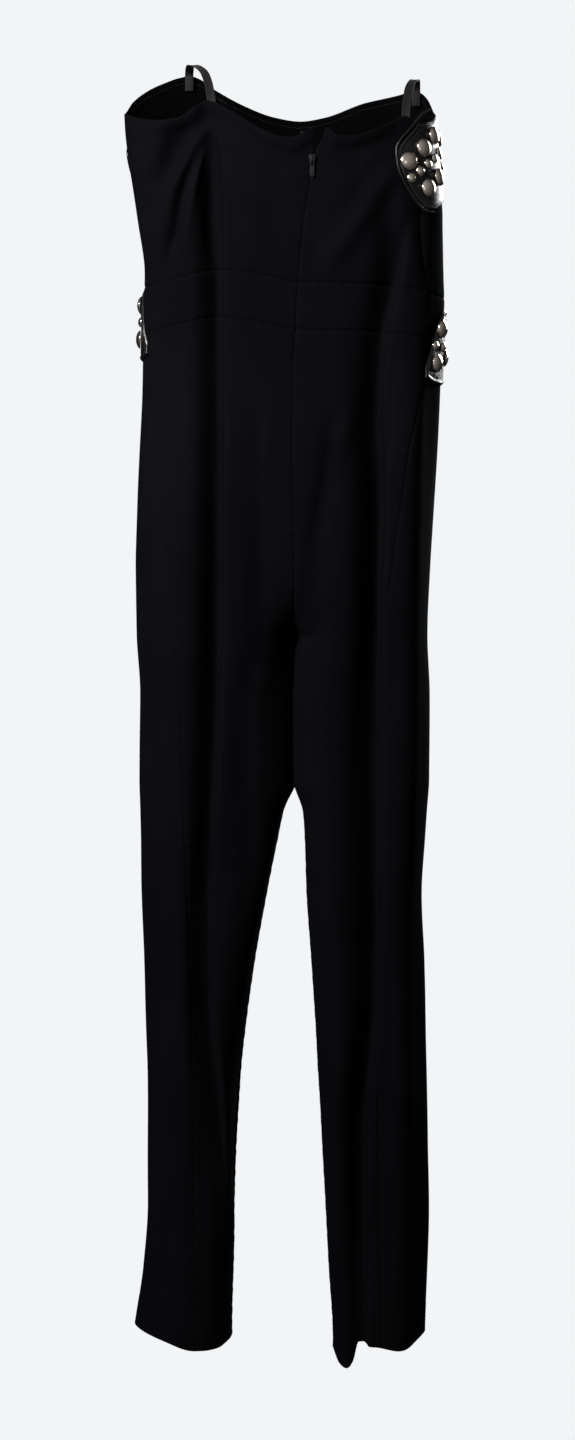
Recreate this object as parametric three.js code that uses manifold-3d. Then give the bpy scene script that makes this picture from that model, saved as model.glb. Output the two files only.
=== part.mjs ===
import * as THREE from "three";
import { mergeVertices } from "three/addons/utils/BufferGeometryUtils.js";
import Module from "manifold-3d";

// A strapless full-length jumpsuit in black crepe with studded leather side panels, hanging
// hollow from two ribbon loops. Sizes are in millimetres.
// Frame: +Z up, -Y the wearer's back, -X the wearer's left. The origin is the point where the
// garment is held, midway between the crests of its two loops.

// Cloth and seams
const WALL = 2.0; // crepe with its seam turnings
const SEAM_GAP = 0.3; // between the edges of two sewn pieces
const WAISTBAND_HEIGHT = 49;
const LEG_GAP = 1.4; // between the legs where they lie together
const CROTCH_Z = -595;
const CROTCH_RISE = 62; // height over which the crotch seam rounds up to the back and front
const INNER_ROUND = 0.3; // share of a leg's width that its round inner edge takes
const INNER_LEAN = 0.4; // slant of the inner edges where the legs lie together
const LEAN_ENDS = 20; // half gap between the legs at which the slant has faded
const SIDE_SQUARENESS = 3.2; // exponent of the section's round towards the side
const INSEAM_TURN = 0.0012; // keeps the back and front legs a seam's gap apart at the inseam

// Leather, zip and ribbon
const LEATHER_LIFT = 1.2; // from the cloth's curve to the leather's underside
const LEATHER_THICK = 1.6;
const PIPING_RADIUS = 1.5;
const PIPING_GAP = 0.7; // from the leather's cut edge
const PIPED_ROWS = 7; // rows of a panel's table that the piping passes
const STUD_LIFT = 0.3;
const STUD = { large: { radius: 9.6, height: 4.6, sides: 11 }, small: { radius: 5.2, height: 3.0, sides: 8 } };
const TAPE_WIDTH = 11;
const TAPE_THICK = 0.8;
const TAPE_BOTTOM = -330;
const TAPE_TOP = { left: -67, right: -70 };
const TAPE_INSET = 0.4; // from the panel's edge to the tape's edge
const TAPE_CLEARANCE = 0.4; // from the curve of the inner wall to the tape
const RIBBON_WIDTH = 9;
const RIBBON_THICK = 1.0;
const RIBBON_TAIL = 16; // sewn length below the garment's edge
const RIBBON_CLEARANCE = 0.9; // from the curve of the inner wall to the ribbon

// The garment's sections: silhouette, centre seams, half the gap between the legs, half depths
const SECTIONS = named(["z", "left", "centre", "split", "right", "back", "front"], [
  [10, -190, 9, 0, 137, 50, 54],
  [-45, -191, 8.5, 0, 137, 52, 55],
  [-85, -188, 8, 0, 139, 55, 58],
  [-120, -181, 4, 0, 143.5, 57, 60],
  [-160, -176, -2, 0, 146, 57, 59],
  [-210, -171, -7, 0, 147, 53, 55],
  [-245, -172, -9.5, 0, 148, 51, 53],
  [-290, -173, -12, 0, 146, 52, 54],
  [-340, -174, -13.5, 0, 144, 55, 56],
  [-400, -177, -14, 0, 141, 60, 58],
  [-460, -180, -13, 0, 138, 63, 59],
  [-530, -183, -12, 0, 134.5, 62, 58],
  [-595, -183, -12, 0, 133, 57, 54],
  [-660, -180, -9, 0, 135, 51, 49],
  [-752, -180, -10, 0, 134.5, 46, 45],
  [-787, -179, -12.5, 9.8, 132, 45, 44],
  [-820, -178, -15, 14, 130, 44, 43],
  [-885, -176, -20.5, 21.5, 127, 43, 42],
  [-950, -173.5, -24, 30, 129, 41, 41],
  [-1020, -172, -26, 37, 131, 40, 40],
  [-1085, -171, -28, 42, 132.5, 40, 39],
  [-1150, -171, -28, 46, 134, 40, 39],
  [-1220, -171, -27.5, 49.5, 135, 41, 40],
  [-1290, -176, -26, 52, 134, 43, 41],
  [-1370, -189, -24.5, 54.5, 132, 46, 43],
  [-1410, -192, -24.5, 54.5, 131, 47, 44],
]);

// Edges and seams across the garment: height at each x
const TOP_BACK = named(["x", "z"], [
  [-191, -44], [-178, -50], [-155, -54], [-134, -52], [-118, -43], [-102, -35], [-85, -42],
  [-62, -56], [-35, -70], [-17, -74], [-2, -69], [8, -63], [21, -64], [34, -72], [48, -73],
  [67, -67], [87, -58], [104, -50], [117, -55], [130, -52], [137, -44],
]);
const TOP_FRONT = named(["x", "z"], [
  [-191, -44], [-183, -30], [-166, -16], [-150, -8], [-134, -2], [-123, 0], [-113, -3],
  [-97, -14], [-65, -31], [-32, -43], [-5, -47], [21, -43], [64, -28], [102, -20],
  [115, -17], [124, -20], [131, -28], [137, -44],
]);
const WAIST_BACK = named(["x", "z"], [
  [-172, -226], [-133, -217], [-92, -209], [-55, -213], [-10, -222], [60, -224], [110, -228], [148, -238],
]);
const WAIST_FRONT = named(["x", "z"], [
  [-172, -226], [-100, -222], [0, -226], [100, -231], [148, -238],
]);
const HEM_BACK = named(["x", "z"], [
  [-189, -1357], [-152, -1366], [-120, -1374], [-95, -1374], [-79, -1370],
  [30, -1384], [37, -1394], [46, -1398], [53, -1391], [59, -1370], [77, -1370], [105, -1375], [132, -1366],
]);
const HEM_FRONT = named(["x", "z"], [
  [-189, -1357], [-130, -1368], [-79, -1370], [30, -1386], [60, -1378], [100, -1373], [132, -1366],
]);

// Seams and openings down the garment: x at each height
const SIDE_SEAM_LEFT = named(["z", "x"], [
  [-44, -184], [-160, -169], [-240, -166], [-325, -168], [-361, -164], [-423, -156], [-504, -146],
  [-592, -139], [-692, -132], [-800, -129], [-1000, -122], [-1370, -118],
]);
const SIDE_SEAM_RIGHT = named(["z", "x"], [
  [-44, 125], [-160, 122], [-235, 130], [-290, 130], [-342, 122], [-400, 110], [-442, 105], [-487, 99],
  [-521, 95], [-578, 88], [-700, 86], [-1000, 82], [-1370, 86],
]);
const ZIP_RIGHT_EDGE = named(["z", "x"], [[-60, 21], [-66, 20.5], [-92, 8.3], [-110, 4.9]]);

// Main pleats of the back: crest path and how strong the pleat is, the trough lies beside it
const PLEAT_LEFT = named(["z", "x", "strength"], [
  [-36, -95, 0.1], [-85, -86, 0.5], [-130, -82, 0.95], [-235, -81, 1], [-381, -81, 1], [-549, -82, 1],
  [-663, -83, 1], [-773, -89, 1], [-882, -94, 1], [-990, -94, 0.9], [-1098, -84, 0.8], [-1175, -80, 0.5],
  [-1235, -76, 0.2], [-1400, -76, 0.1],
]);
const PLEAT_RIGHT = named(["z", "x", "strength"], [
  [-40, 110, 0], [-150, 111, 0.02], [-190, 109, 0.45], [-235, 100, 0.7], [-295, 90, 0.8], [-370, 87, 1],
  [-447, 89, 1], [-556, 87, 1], [-773, 87, 1], [-990, 86, 1], [-1060, 80, 1], [-1120, 74, 1], [-1400, 73, 0.7],
]);
const TROUGH_LEFT = beside(PLEAT_LEFT, -9);
const TROUGH_RIGHT = beside(PLEAT_RIGHT, -9);
const SLOPE_LEFT = beside(PLEAT_LEFT, -27);
const SLOPE_RIGHT = beside(PLEAT_RIGHT, -27);
const PLEAT_FRONT_LEFT = named(["z", "x", "strength"], [
  [0, -110, 0], [-120, -104, 0.5], [-240, -100, 0.3], [-400, -96, 0.8], [-700, -98, 1],
  [-1000, -108, 1], [-1400, -118, 0.8],
]);
const PLEAT_FRONT_RIGHT = named(["z", "x", "strength"], [
  [0, 84, 0], [-120, 80, 0.5], [-240, 78, 0.3], [-400, 72, 0.8], [-700, 66, 1],
  [-1000, 72, 1], [-1400, 84, 0.8],
]);

const TROUGH_FRONT_LEFT = beside(PLEAT_FRONT_LEFT, 20);
const TROUGH_FRONT_RIGHT = beside(PLEAT_FRONT_RIGHT, -20);

// Every fold: which face, how far it stands out (or in, if negative), its width to each side
const FOLDS = named(["face", "depth", "left", "right", "path"], [
  ["back", 6, 6, 40, PLEAT_LEFT],
  ["back", -24, 18, 6, TROUGH_LEFT],
  ["back", 4, 6, 30, PLEAT_RIGHT],
  ["back", -26, 20, 6, TROUGH_RIGHT],
  ["front", 8, 30, 12, PLEAT_FRONT_LEFT],
  ["front", -9, 14, 22, TROUGH_FRONT_LEFT],
  ["front", 8, 12, 30, PLEAT_FRONT_RIGHT],
  ["front", -9, 22, 14, TROUGH_FRONT_RIGHT],
  ["back", 7, 9, 9, path([-66, -113, 0], [-88, -122, 0.9], [-125, -140, 1], [-170, -152, 0.8], [-218, -160, 0])],
  ["back", -10, 8, 6, path(
    [-68, -105, 0], [-92, -113, 0.8], [-128, -126, 1], [-164, -133, 1], [-200, -144, 0.6], [-228, -151, 0],
  )],
  ["back", 5, 6, 7, path([-56, -101, 0], [-68, -105, 0.7], [-117, -116, 1], [-154, -124, 0.8], [-200, -132, 0])],
  ["back", -9, 30, 14, path([-44, -130, 0], [-64, -128, 0.6], [-86, -132, 1], [-106, -140, 0.6], [-126, -150, 0])],
  ["back", 1.5, 14, 14, path([-74, 86, 0], [-95, 66, 0.8], [-120, 42, 1], [-146, 22, 0.4], [-165, 10, 0])],
  ["back", 5, 14, 14, path([-98, 96, 0], [-130, 76, 1], [-170, 48, 1], [-210, 24, 0.3], [-232, 14, 0])],
  ["back", -3, 12, 10, path([-110, 92, 0], [-138, 86, 1], [-180, 84, 1], [-225, 84, 0])],
  ["back", -5, 16, 12, path([-380, 42, 0], [-430, 32, 1], [-500, 20, 0.7], [-560, 12, 0])],
  ["back", 7, 22, 30, path(
    [-290, -140, 0], [-400, -138, 0.8], [-600, -136, 1], [-900, -134, 1], [-1290, -134, 1], [-1400, -136, 0.7],
  )],
  ["back", 25, 24, 10, path(
    [-150, 126, 0], [-200, 128, 0.35], [-290, 124, 0.5], [-380, 120, 0.9], [-600, 119, 1], [-800, 116, 0.9],
    [-1000, 112, 0.7], [-1400, 112, 0.45],
  )],
  ["back", -5, 15, 12, path(
    [-350, -49, 0], [-400, -48, 0.8], [-500, -48, 1], [-600, -49, 0.9], [-700, -54, 1], [-800, -57, 1],
    [-900, -62, 0.6], [-1000, -66, 0],
  )],
]);

// Leather panels as cut: distance along the body from the back tip, top and bottom heights
const BUST_PANEL = named(["along", "top", "bottom"], [
  [2.5, -84, -99], [5, -79, -110], [11, -72, -121], [18, -65, -132], [26, -56, -141], [34, -48, -146],
  [44, -44, -147], [56, -40, -142], [70, -38, -135], [84, -34, -130], [96, -44, -119], [103, -58, -104],
]);
const HIP_PANEL = named(["along", "top", "bottom"], [
  [0, -311, -322], [8, -294, -325], [14, -280, -327], [24, -258, -329], [34, -250, -330],
  [46, -251, -329], [58, -264, -325], [66, -284, -316],
]);
const BUST_STUDS = named(["size", "along", "z"], [
  ["large", 13, -97], ["large", 32, -82.5], ["large", 49, -69], ["large", 36, -124], ["large", 55, -112],
  ["small", 15.5, -114.5], ["small", 26.5, -107], ["small", 37, -99], ["small", 48, -93], ["small", 59, -85],
  ["large", 75, -70], ["large", 81, -103], ["small", 74, -87],
]);
const HIP_STUDS = named(["size", "along", "z"], [
  ["large", 26, -270], ["large", 20, -306], ["small", 14.5, -288], ["small", 31, -289], ["large", 47, -300],
]);
// Where each panel's back tip lies: turn round the half body, and the panel's lift up the body
const BUST_PLACE = { left: { turn: 1.09, up: 0 }, right: { turn: 0.455, up: 0 } };
const HIP_PLACE = { left: { turn: 0.813, up: 25 }, right: { turn: 0.684, up: 0 } };

// Hanger loops: where the ribbon leaves the back edge and the front edge, and its crest
const LOOPS = {
  left: { backX: -98.5, frontX: -124, crestY: 12, crestZ: 8 },
  right: { backX: 105, frontX: 118, crestY: 3, crestZ: -8 },
};

// Zip slider and its tab, in the slider's own frame: x across, y up the zip, z away from the cloth
const SLIDER = { z: -96, lift: 0.9, width: 7, height: 9.4, thick: 1.8, shoulder: 1.6 };
const BAIL = { halfHeight: 3.6, reach: 3.4, bar: 1.0, width: 1.4 };
const HINGE = { up: -1.6, out: 2.7 };
const TAB = { barHalf: 0.45, slotHalf: 1.1, slotEnd: 6.2, neck: 2.1, wide: 2.6, length: 17, thick: 1.0 };

// Mesh density
const BACK_COLUMNS = { left: [6, 3, 2, 3], right: [6, 2, 3] }; // between the lines of backColumns
const FRONT_COLUMNS = [9, 2, 4]; // side seam to pleat, over the pleat, pleat to centre
const BODICE_ROWS = 7;
const WAISTBAND_ROWS = 2;
const LEG_STEP = 46; // height of a row of the legs
const CROTCH_STEP = 16; // the same near the crotch
const PANEL_ROWS = 5;
const TAPE_ROWS = 14;
const LOOP_ROWS = 22;
const PIPING_STEPS = 24;
const WALK_TURN = 0.005; // half the span of turn over which the walking speed is taken
const WALK_STEP = 2; // longest step of a walk

// Colours, roughness and metalness
const CREPE = { color: 0x0b0b0d, roughness: 0.9, metalness: 0 };
const LEATHER = { color: 0x08080a, roughness: 0.3, metalness: 0 };
const STUD_METAL = { color: 0xcfc6b4, roughness: 0.18, metalness: 1 };
const ZIP_TAPE = { color: 0x0a0a0c, roughness: 0.8, metalness: 0 };
const ZIP_METAL = { color: 0x17171a, roughness: 0.35, metalness: 0.8 };
const RIBBON = { color: 0x2a2623, roughness: 0.4, metalness: 0 };

const SIDES = { left: -1, right: 1 };

// Tables: rows with named columns, and smooth values between rows

function named(columns, rows) {
  return rows.map((row) => Object.fromEntries(columns.map((name, i) => [name, row[i]])));
}

function path(...rows) {
  return named(["z", "x", "strength"], rows);
}

function beside(pleat, shift) {
  return pleat.map((row) => ({ ...row, x: row.x + shift }));
}

function mix(a, b, share) {
  return a + (b - a) * share;
}

function clamp(value, low, high) {
  return Math.min(high, Math.max(low, value));
}

// Value of a column at a key, by cubic pieces whose slopes don't overshoot the rows
function valueAt(table, key, name, at) {
  const rising = table[table.length - 1][key] > table[0][key];
  const place = (row) => (rising ? row[key] : -row[key]);
  const where = rising ? at : -at;
  if (where <= place(table[0])) return table[0][name];
  if (where >= place(table[table.length - 1])) return table[table.length - 1][name];
  const i = table.findIndex((row) => place(row) > where) - 1;
  const run = (k) => place(table[k + 1]) - place(table[k]);
  const slope = (k) => (table[k + 1][name] - table[k][name]) / run(k);
  const tangent = (k) => {
    if (k <= 0 || k >= table.length - 1) return slope(clamp(k, 0, table.length - 2));
    const before = slope(k - 1);
    const after = slope(k);
    return before * after <= 0 ? 0 : (2 * before * after) / (before + after);
  };
  const t = (where - place(table[i])) / run(i);
  const start = table[i][name];
  const rise = table[i + 1][name] - start;
  const a = tangent(i) * run(i);
  const b = tangent(i + 1) * run(i);
  return start + a * t + (3 * rise - 2 * a - b) * t * t + (a + b - 2 * rise) * t * t * t;
}

// The cloth's outer surface. A turn goes round half the garment: 0 centre back, 1 side, 2 centre front.

function halfRing(side, z) {
  const value = (name) => valueAt(SECTIONS, "z", name, z);
  const rise = clamp((z - CROTCH_Z) / CROTCH_RISE, 0, 1);
  const join = Math.sqrt(1 - (1 - rise) ** 2); // 1 in the body, 0 in the legs
  const below = clamp((CROTCH_Z - z) / CROTCH_RISE, 0, 1);
  const inner = value("centre") + side * (mix(SEAM_GAP, LEG_GAP, below) / 2 + value("split"));
  const outer = value(side < 0 ? "left" : "right");
  const lean = INNER_LEAN * below * clamp(1 - value("split") / LEAN_ENDS, 0, 1);
  return { inner, width: Math.abs(outer - inner), join, lean, back: value("back"), front: value("front") };
}

function shareAt(turn, join) {
  const t = turn <= 1 ? turn : 2 - turn;
  const bodyShare = Math.sin((t * Math.PI) / 2);
  const legShare = (1 - Math.cos(t * Math.PI)) / 2;
  return mix(legShare, bodyShare, join);
}

function foldDepth(face, x, z) {
  let total = 0;
  for (const fold of FOLDS) {
    if (fold.face !== face) continue;
    const strength = valueAt(fold.path, "z", "strength", z);
    const off = x - valueAt(fold.path, "z", "x", z);
    const width = off < 0 ? fold.left : fold.right;
    total += fold.depth * strength * Math.exp(-((off / width) ** 2));
  }
  return total;
}

function clothPoint(side, turn, z) {
  const ring = halfRing(side, z);
  const share = shareAt(turn, ring.join);
  const x = ring.inner + side * ring.width * share;
  const face = turn <= 1 ? "back" : "front";
  const sideRound = Math.sqrt(Math.max(0, 1 - share ** SIDE_SQUARENESS));
  const closing = Math.max(0, 1 - share / INNER_ROUND);
  const innerRound = Math.sqrt(1 - (1 - ring.join ** 2) * closing ** 2);
  const depth = (ring[face] + foldDepth(face, x, z)) * sideRound * innerRound;
  const y = face === "back" ? -depth : depth;
  return new THREE.Vector3(x + ring.lean * y * (1 - share) ** 3, y, z);
}

function clothNormal(side, turn, z) {
  const dTurn = 0.002;
  const dZ = 1;
  const round = clothPoint(side, Math.min(2, turn + dTurn), z).sub(clothPoint(side, Math.max(0, turn - dTurn), z));
  const up = clothPoint(side, turn, z + dZ).sub(clothPoint(side, turn, z - dZ));
  return round.cross(up).multiplyScalar(side).normalize();
}

// A point on the surface moved out along its normal, or in where raise is negative
function raised(side, turn, z, raise) {
  return clothPoint(side, turn, z).addScaledVector(clothNormal(side, turn, z), raise);
}

// The turn at which the surface reaches x on one face
function turnAtX(side, face, x, z) {
  const ring = halfRing(side, z);
  const wanted = clamp((side * (x - ring.inner)) / ring.width, 0.001, 0.995);
  let low = 0;
  let high = 1;
  for (let i = 0; i < 30; i++) {
    const middle = (low + high) / 2;
    if (shareAt(middle, ring.join) < wanted) low = middle;
    else high = middle;
  }
  return face === "back" ? low : 2 - low;
}

// The turn reached by walking a distance over the surface at one height
function walked(side, turn, z, distance) {
  const steps = Math.max(1, Math.ceil(Math.abs(distance) / WALK_STEP));
  let at = turn;
  for (let i = 0; i < steps; i++) {
    const span = clothPoint(side, at + WALK_TURN, z).distanceTo(clothPoint(side, at - WALK_TURN, z));
    at += ((distance / steps) * 2 * WALK_TURN) / span;
  }
  return at;
}

// Lines down the garment that the mesh columns follow, as turns

function centreTurn(side, z) {
  return INSEAM_TURN * (1 - halfRing(side, z).join);
}

function seamTurn(side, z, shift) {
  const table = side < 0 ? SIDE_SEAM_LEFT : SIDE_SEAM_RIGHT;
  return walked(side, turnAtX(side, "back", valueAt(table, "z", "x", z), z), z, shift);
}

function pathTurn(side, face, table, z) {
  return turnAtX(side, face, valueAt(table, "z", "x", z), z);
}

// Columns between successive lines, each a side and a turn at every height
function columnsBetween(side, lines, counts) {
  const columns = [{ side, turnAt: lines[0] }];
  counts.forEach((count, k) => {
    for (let i = 1; i <= count; i++) {
      columns.push({ side, turnAt: (z) => mix(lines[k](z), lines[k + 1](z), i / count) });
    }
  });
  return columns;
}

function backColumns(side, centre = (z) => centreTurn(side, z)) {
  const pleats = side < 0 ? [PLEAT_LEFT, TROUGH_LEFT, SLOPE_LEFT] : [SLOPE_RIGHT, TROUGH_RIGHT];
  const lines = [
    centre,
    ...pleats.map((table) => (z) => pathTurn(side, "back", table, z)),
    (z) => seamTurn(side, z, -SEAM_GAP / 2),
  ];
  return columnsBetween(side, lines, side < 0 ? BACK_COLUMNS.left : BACK_COLUMNS.right);
}

function frontColumns(side) {
  const pleats = side < 0 ? [PLEAT_FRONT_LEFT, TROUGH_FRONT_LEFT] : [PLEAT_FRONT_RIGHT, TROUGH_FRONT_RIGHT];
  const lines = [
    (z) => seamTurn(side, z, SEAM_GAP / 2),
    ...pleats.map((table) => (z) => pathTurn(side, "front", table, z)),
    (z) => 2 - centreTurn(side, z),
  ];
  return columnsBetween(side, lines, FRONT_COLUMNS);
}

// Both fronts as one run of columns, from the left seam round to the right one
function wholeFrontColumns() {
  return [...frontColumns(-1), ...frontColumns(1).reverse().slice(1)];
}

// Heights of edges and seams at a column

function heightOn(backTable, frontTable, column, start) {
  let z = start;
  for (let i = 0; i < 4; i++) {
    const turn = column.turnAt(z);
    z = valueAt(turn <= 1 ? backTable : frontTable, "x", "z", clothPoint(column.side, turn, z).x);
  }
  return z;
}

const topEdge = (column) => heightOn(TOP_BACK, TOP_FRONT, column, TOP_BACK[0].z);
const waistSeam = (column) => heightOn(WAIST_BACK, WAIST_FRONT, column, WAIST_BACK[0].z);
const hemEdge = (column) => heightOn(HEM_BACK, HEM_FRONT, column, HEM_BACK[0].z);

// Solids

// Closed wall between an outer and an inner grid of points with the same rows and columns
function wallBetween(outer, inner) {
  const rows = outer.length;
  const columns = outer[0].length;
  const positions = [...outer.flat(), ...inner.flat()].flatMap((p) => [p.x, p.y, p.z]);
  const out = (i, j) => i * columns + j;
  const back = (i, j) => rows * columns + i * columns + j;
  const index = [];
  const quad = (a, b, c, d) => index.push(a, b, c, a, c, d);
  for (let i = 0; i < rows - 1; i++) {
    for (let j = 0; j < columns - 1; j++) {
      quad(out(i, j), out(i + 1, j), out(i + 1, j + 1), out(i, j + 1));
      quad(back(i, j), back(i, j + 1), back(i + 1, j + 1), back(i + 1, j));
    }
    quad(out(i, 0), back(i, 0), back(i + 1, 0), out(i + 1, 0));
    quad(out(i, columns - 1), out(i + 1, columns - 1), back(i + 1, columns - 1), back(i, columns - 1));
  }
  for (let j = 0; j < columns - 1; j++) {
    quad(out(0, j), out(0, j + 1), back(0, j + 1), back(0, j));
    quad(out(rows - 1, j), back(rows - 1, j), back(rows - 1, j + 1), out(rows - 1, j + 1));
  }
  const geometry = new THREE.BufferGeometry();
  geometry.setAttribute("position", new THREE.Float32BufferAttribute(positions, 3));
  geometry.setIndex(index);
  return facingOut(geometry);
}

// The same closed mesh with shared corners merged and its faces pointing out
function facingOut(source) {
  const bare = source.clone();
  bare.deleteAttribute("normal");
  bare.deleteAttribute("uv");
  const geometry = mergeVertices(bare, 1e-4);
  const p = geometry.getAttribute("position");
  const index = Array.from(geometry.getIndex().array);
  const corner = (k) => new THREE.Vector3().fromBufferAttribute(p, index[k]);
  let volume = 0;
  for (let k = 0; k < index.length; k += 3) {
    volume += corner(k).dot(corner(k + 1).cross(corner(k + 2))) / 6;
  }
  if (volume < 0) {
    for (let k = 0; k < index.length; k += 3) [index[k + 1], index[k + 2]] = [index[k + 2], index[k + 1]];
    geometry.setIndex(index);
  }
  return geometry;
}

// A cloth panel between two edges, with rows at the given shares of its height
function clothPanel(columns, upper, lower, shares) {
  const ends = columns.map((column) => ({ top: upper(column), bottom: lower(column) }));
  const grid = (raise) => shares.map((share) => columns.map((column, j) => {
    const z = mix(ends[j].top, ends[j].bottom, share);
    return raised(column.side, column.turnAt(z), z, raise);
  }));
  return wallBetween(grid(0), grid(-WALL));
}

function evenShares(rows) {
  return Array.from({ length: rows + 1 }, (_, i) => i / rows);
}

// Row heights of a leg, closer together where the crotch rounds
function legShares() {
  const top = WAIST_BACK[0].z - WAISTBAND_HEIGHT;
  const bottom = HEM_BACK[0].z;
  const heights = [top];
  while (heights[heights.length - 1] > bottom) {
    const z = heights[heights.length - 1];
    const nearCrotch = z < CROTCH_Z + CROTCH_RISE + LEG_STEP / 2 && z > CROTCH_Z - CROTCH_STEP;
    heights.push(z - (nearCrotch ? CROTCH_STEP : LEG_STEP));
  }
  const lowest = heights[heights.length - 1];
  return heights.map((z) => (z - top) / (lowest - top));
}

// A leather panel laid on the cloth, with its place on each side of the garment
function panelGrid(table, place, side, raise) {
  return evenShares(PANEL_ROWS).map((share) => table.map((cut) => {
    const middle = (cut.top + cut.bottom) / 2 + place.up;
    const turnNear = walked(side, place.turn, middle, cut.along);
    const edge = topEdge({ side, turnAt: () => turnNear }) - 1.5;
    const z = mix(Math.min(cut.top + place.up, edge), cut.bottom + place.up, share);
    return raised(side, walked(side, place.turn, z, cut.along), z, raise);
  }));
}

function leatherPanel(table, place, side) {
  const under = panelGrid(table, place, side, LEATHER_LIFT);
  const over = panelGrid(table, place, side, LEATHER_LIFT + LEATHER_THICK);
  return wallBetween(over, under);
}

// Piping beside the panel's upper back edge, its tip and its lower back edge, set out on the flat cut
function pipingAlong(table, place, side) {
  const cuts = table.slice(0, PIPED_ROWS);
  const flat = (height) => (row) => new THREE.Vector2(row.along, row[height] + place.up);
  const edge = [...cuts.toReversed().map(flat("top")), ...cuts.map(flat("bottom"))];
  const stations = edge.map((at, k) => {
    const along = edge[Math.min(k + 1, edge.length - 1)].clone().sub(edge[Math.max(k - 1, 0)]).normalize();
    const away = new THREE.Vector2(along.y, -along.x).multiplyScalar(PIPING_RADIUS + PIPING_GAP);
    const { x: reach, y: z } = at.clone().add(away);
    return raised(side, walked(side, place.turn, z, reach), z, LEATHER_LIFT + PIPING_RADIUS);
  });
  const route = new THREE.CatmullRomCurve3(stations, false, "centripetal");
  const section = new THREE.Shape().absarc(0, 0, PIPING_RADIUS, 0, Math.PI * 2, false);
  const settings = { extrudePath: route, steps: PIPING_STEPS, curveSegments: 4, bevelEnabled: false };
  return facingOut(new THREE.ExtrudeGeometry(section, settings));
}

function studDome({ radius, height, sides }) {
  const rim = 0.16 * height;
  const profile = [new THREE.Vector2(0, 0), new THREE.Vector2(radius, 0), new THREE.Vector2(radius, rim)];
  for (const angle of [30, 60]) {
    const a = THREE.MathUtils.degToRad(angle);
    profile.push(new THREE.Vector2(radius * Math.cos(a), rim + (height - rim) * Math.sin(a)));
  }
  profile.push(new THREE.Vector2(0, height));
  return facingOut(new THREE.LatheGeometry(profile, sides));
}

// A strip of tape or ribbon through centre points, with its across and thick directions
function stripSolid(stations, width, thick) {
  const face = (sign) => stations.map(({ at, across, out }) => [-0.5, 0.5].map((share) => (
    at.clone().addScaledVector(across, share * width).addScaledVector(out, (sign * thick) / 2)
  )));
  return wallBetween(face(1), face(-1));
}

// Half of the zip's tape, behind the edge of one back panel
function zipTape(side) {
  const edge = side < 0 ? (z) => centreTurn(side, z) : zipEdgeTurn;
  const top = side < 0 ? TAPE_TOP.left : TAPE_TOP.right;
  const raise = -(WALL + TAPE_CLEARANCE + TAPE_THICK / 2);
  const grid = (lift) => evenShares(TAPE_ROWS).map((share) => [TAPE_INSET, TAPE_WIDTH / 2, TAPE_WIDTH].map((across) => {
    const z = mix(top, TAPE_BOTTOM, share);
    return raised(side, walked(side, Math.max(edge(z), 0.01), z, across), z, raise + lift);
  }));
  return wallBetween(grid(TAPE_THICK / 2), grid(-TAPE_THICK / 2));
}

// The right back edge leaves the centre above the slider, where the zip is open
function zipEdgeTurn(z) {
  if (z <= ZIP_RIGHT_EDGE[ZIP_RIGHT_EDGE.length - 1].z) return centreTurn(1, z);
  return turnAtX(1, "back", valueAt(ZIP_RIGHT_EDGE, "z", "x", z), z);
}

// Ribbon loop from inside the back edge, up and over to inside the front edge
function hangerLoop(side, loop) {
  const inset = WALL + RIBBON_CLEARANCE + RIBBON_THICK / 2;
  // The innermost depth of the wall behind the ribbon's width, at a height above the edge
  const inside = (face, x, above) => {
    const turn = turnAtX(side, face, x, -60);
    const z = topEdge({ side, turnAt: () => turn }) + above;
    const inward = face === "back" ? 1 : -1;
    const depths = [-0.6, -0.3, 0, 0.3, 0.6].map((share) => {
      const across = turnAtX(side, face, x + share * RIBBON_WIDTH, z);
      const slope = Math.abs(clothNormal(side, across, z).y);
      return clothPoint(side, across, z).y * inward + inset / slope;
    });
    return new THREE.Vector3(x, Math.max(...depths) * inward, z);
  };
  const backTop = inside("back", loop.backX, 3);
  const frontTop = inside("front", loop.frontX, 2);
  const crest = new THREE.Vector3(mix(loop.backX, loop.frontX, 0.85), loop.crestY, loop.crestZ - RIBBON_THICK / 2);
  const rising = new THREE.Vector3(mix(loop.backX, loop.frontX, 0.3), mix(backTop.y, crest.y, 0.45),
    mix(backTop.z, crest.z, 0.72));
  const route = new THREE.CatmullRomCurve3([
    inside("back", loop.backX, -RIBBON_TAIL), inside("back", loop.backX, -RIBBON_TAIL / 2), backTop, rising, crest,
    frontTop, inside("front", loop.frontX, -RIBBON_TAIL / 2), inside("front", loop.frontX, -RIBBON_TAIL),
  ], false, "centripetal");
  const across = new THREE.Vector3(1, 0, 0);
  const stations = evenShares(LOOP_ROWS).map((share) => {
    const ahead = route.getTangent(share);
    const out = new THREE.Vector3(0, -ahead.z, ahead.y).normalize();
    return { at: route.getPoint(share), across, out };
  });
  return stripSolid(stations, RIBBON_WIDTH, RIBBON_THICK);
}

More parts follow.
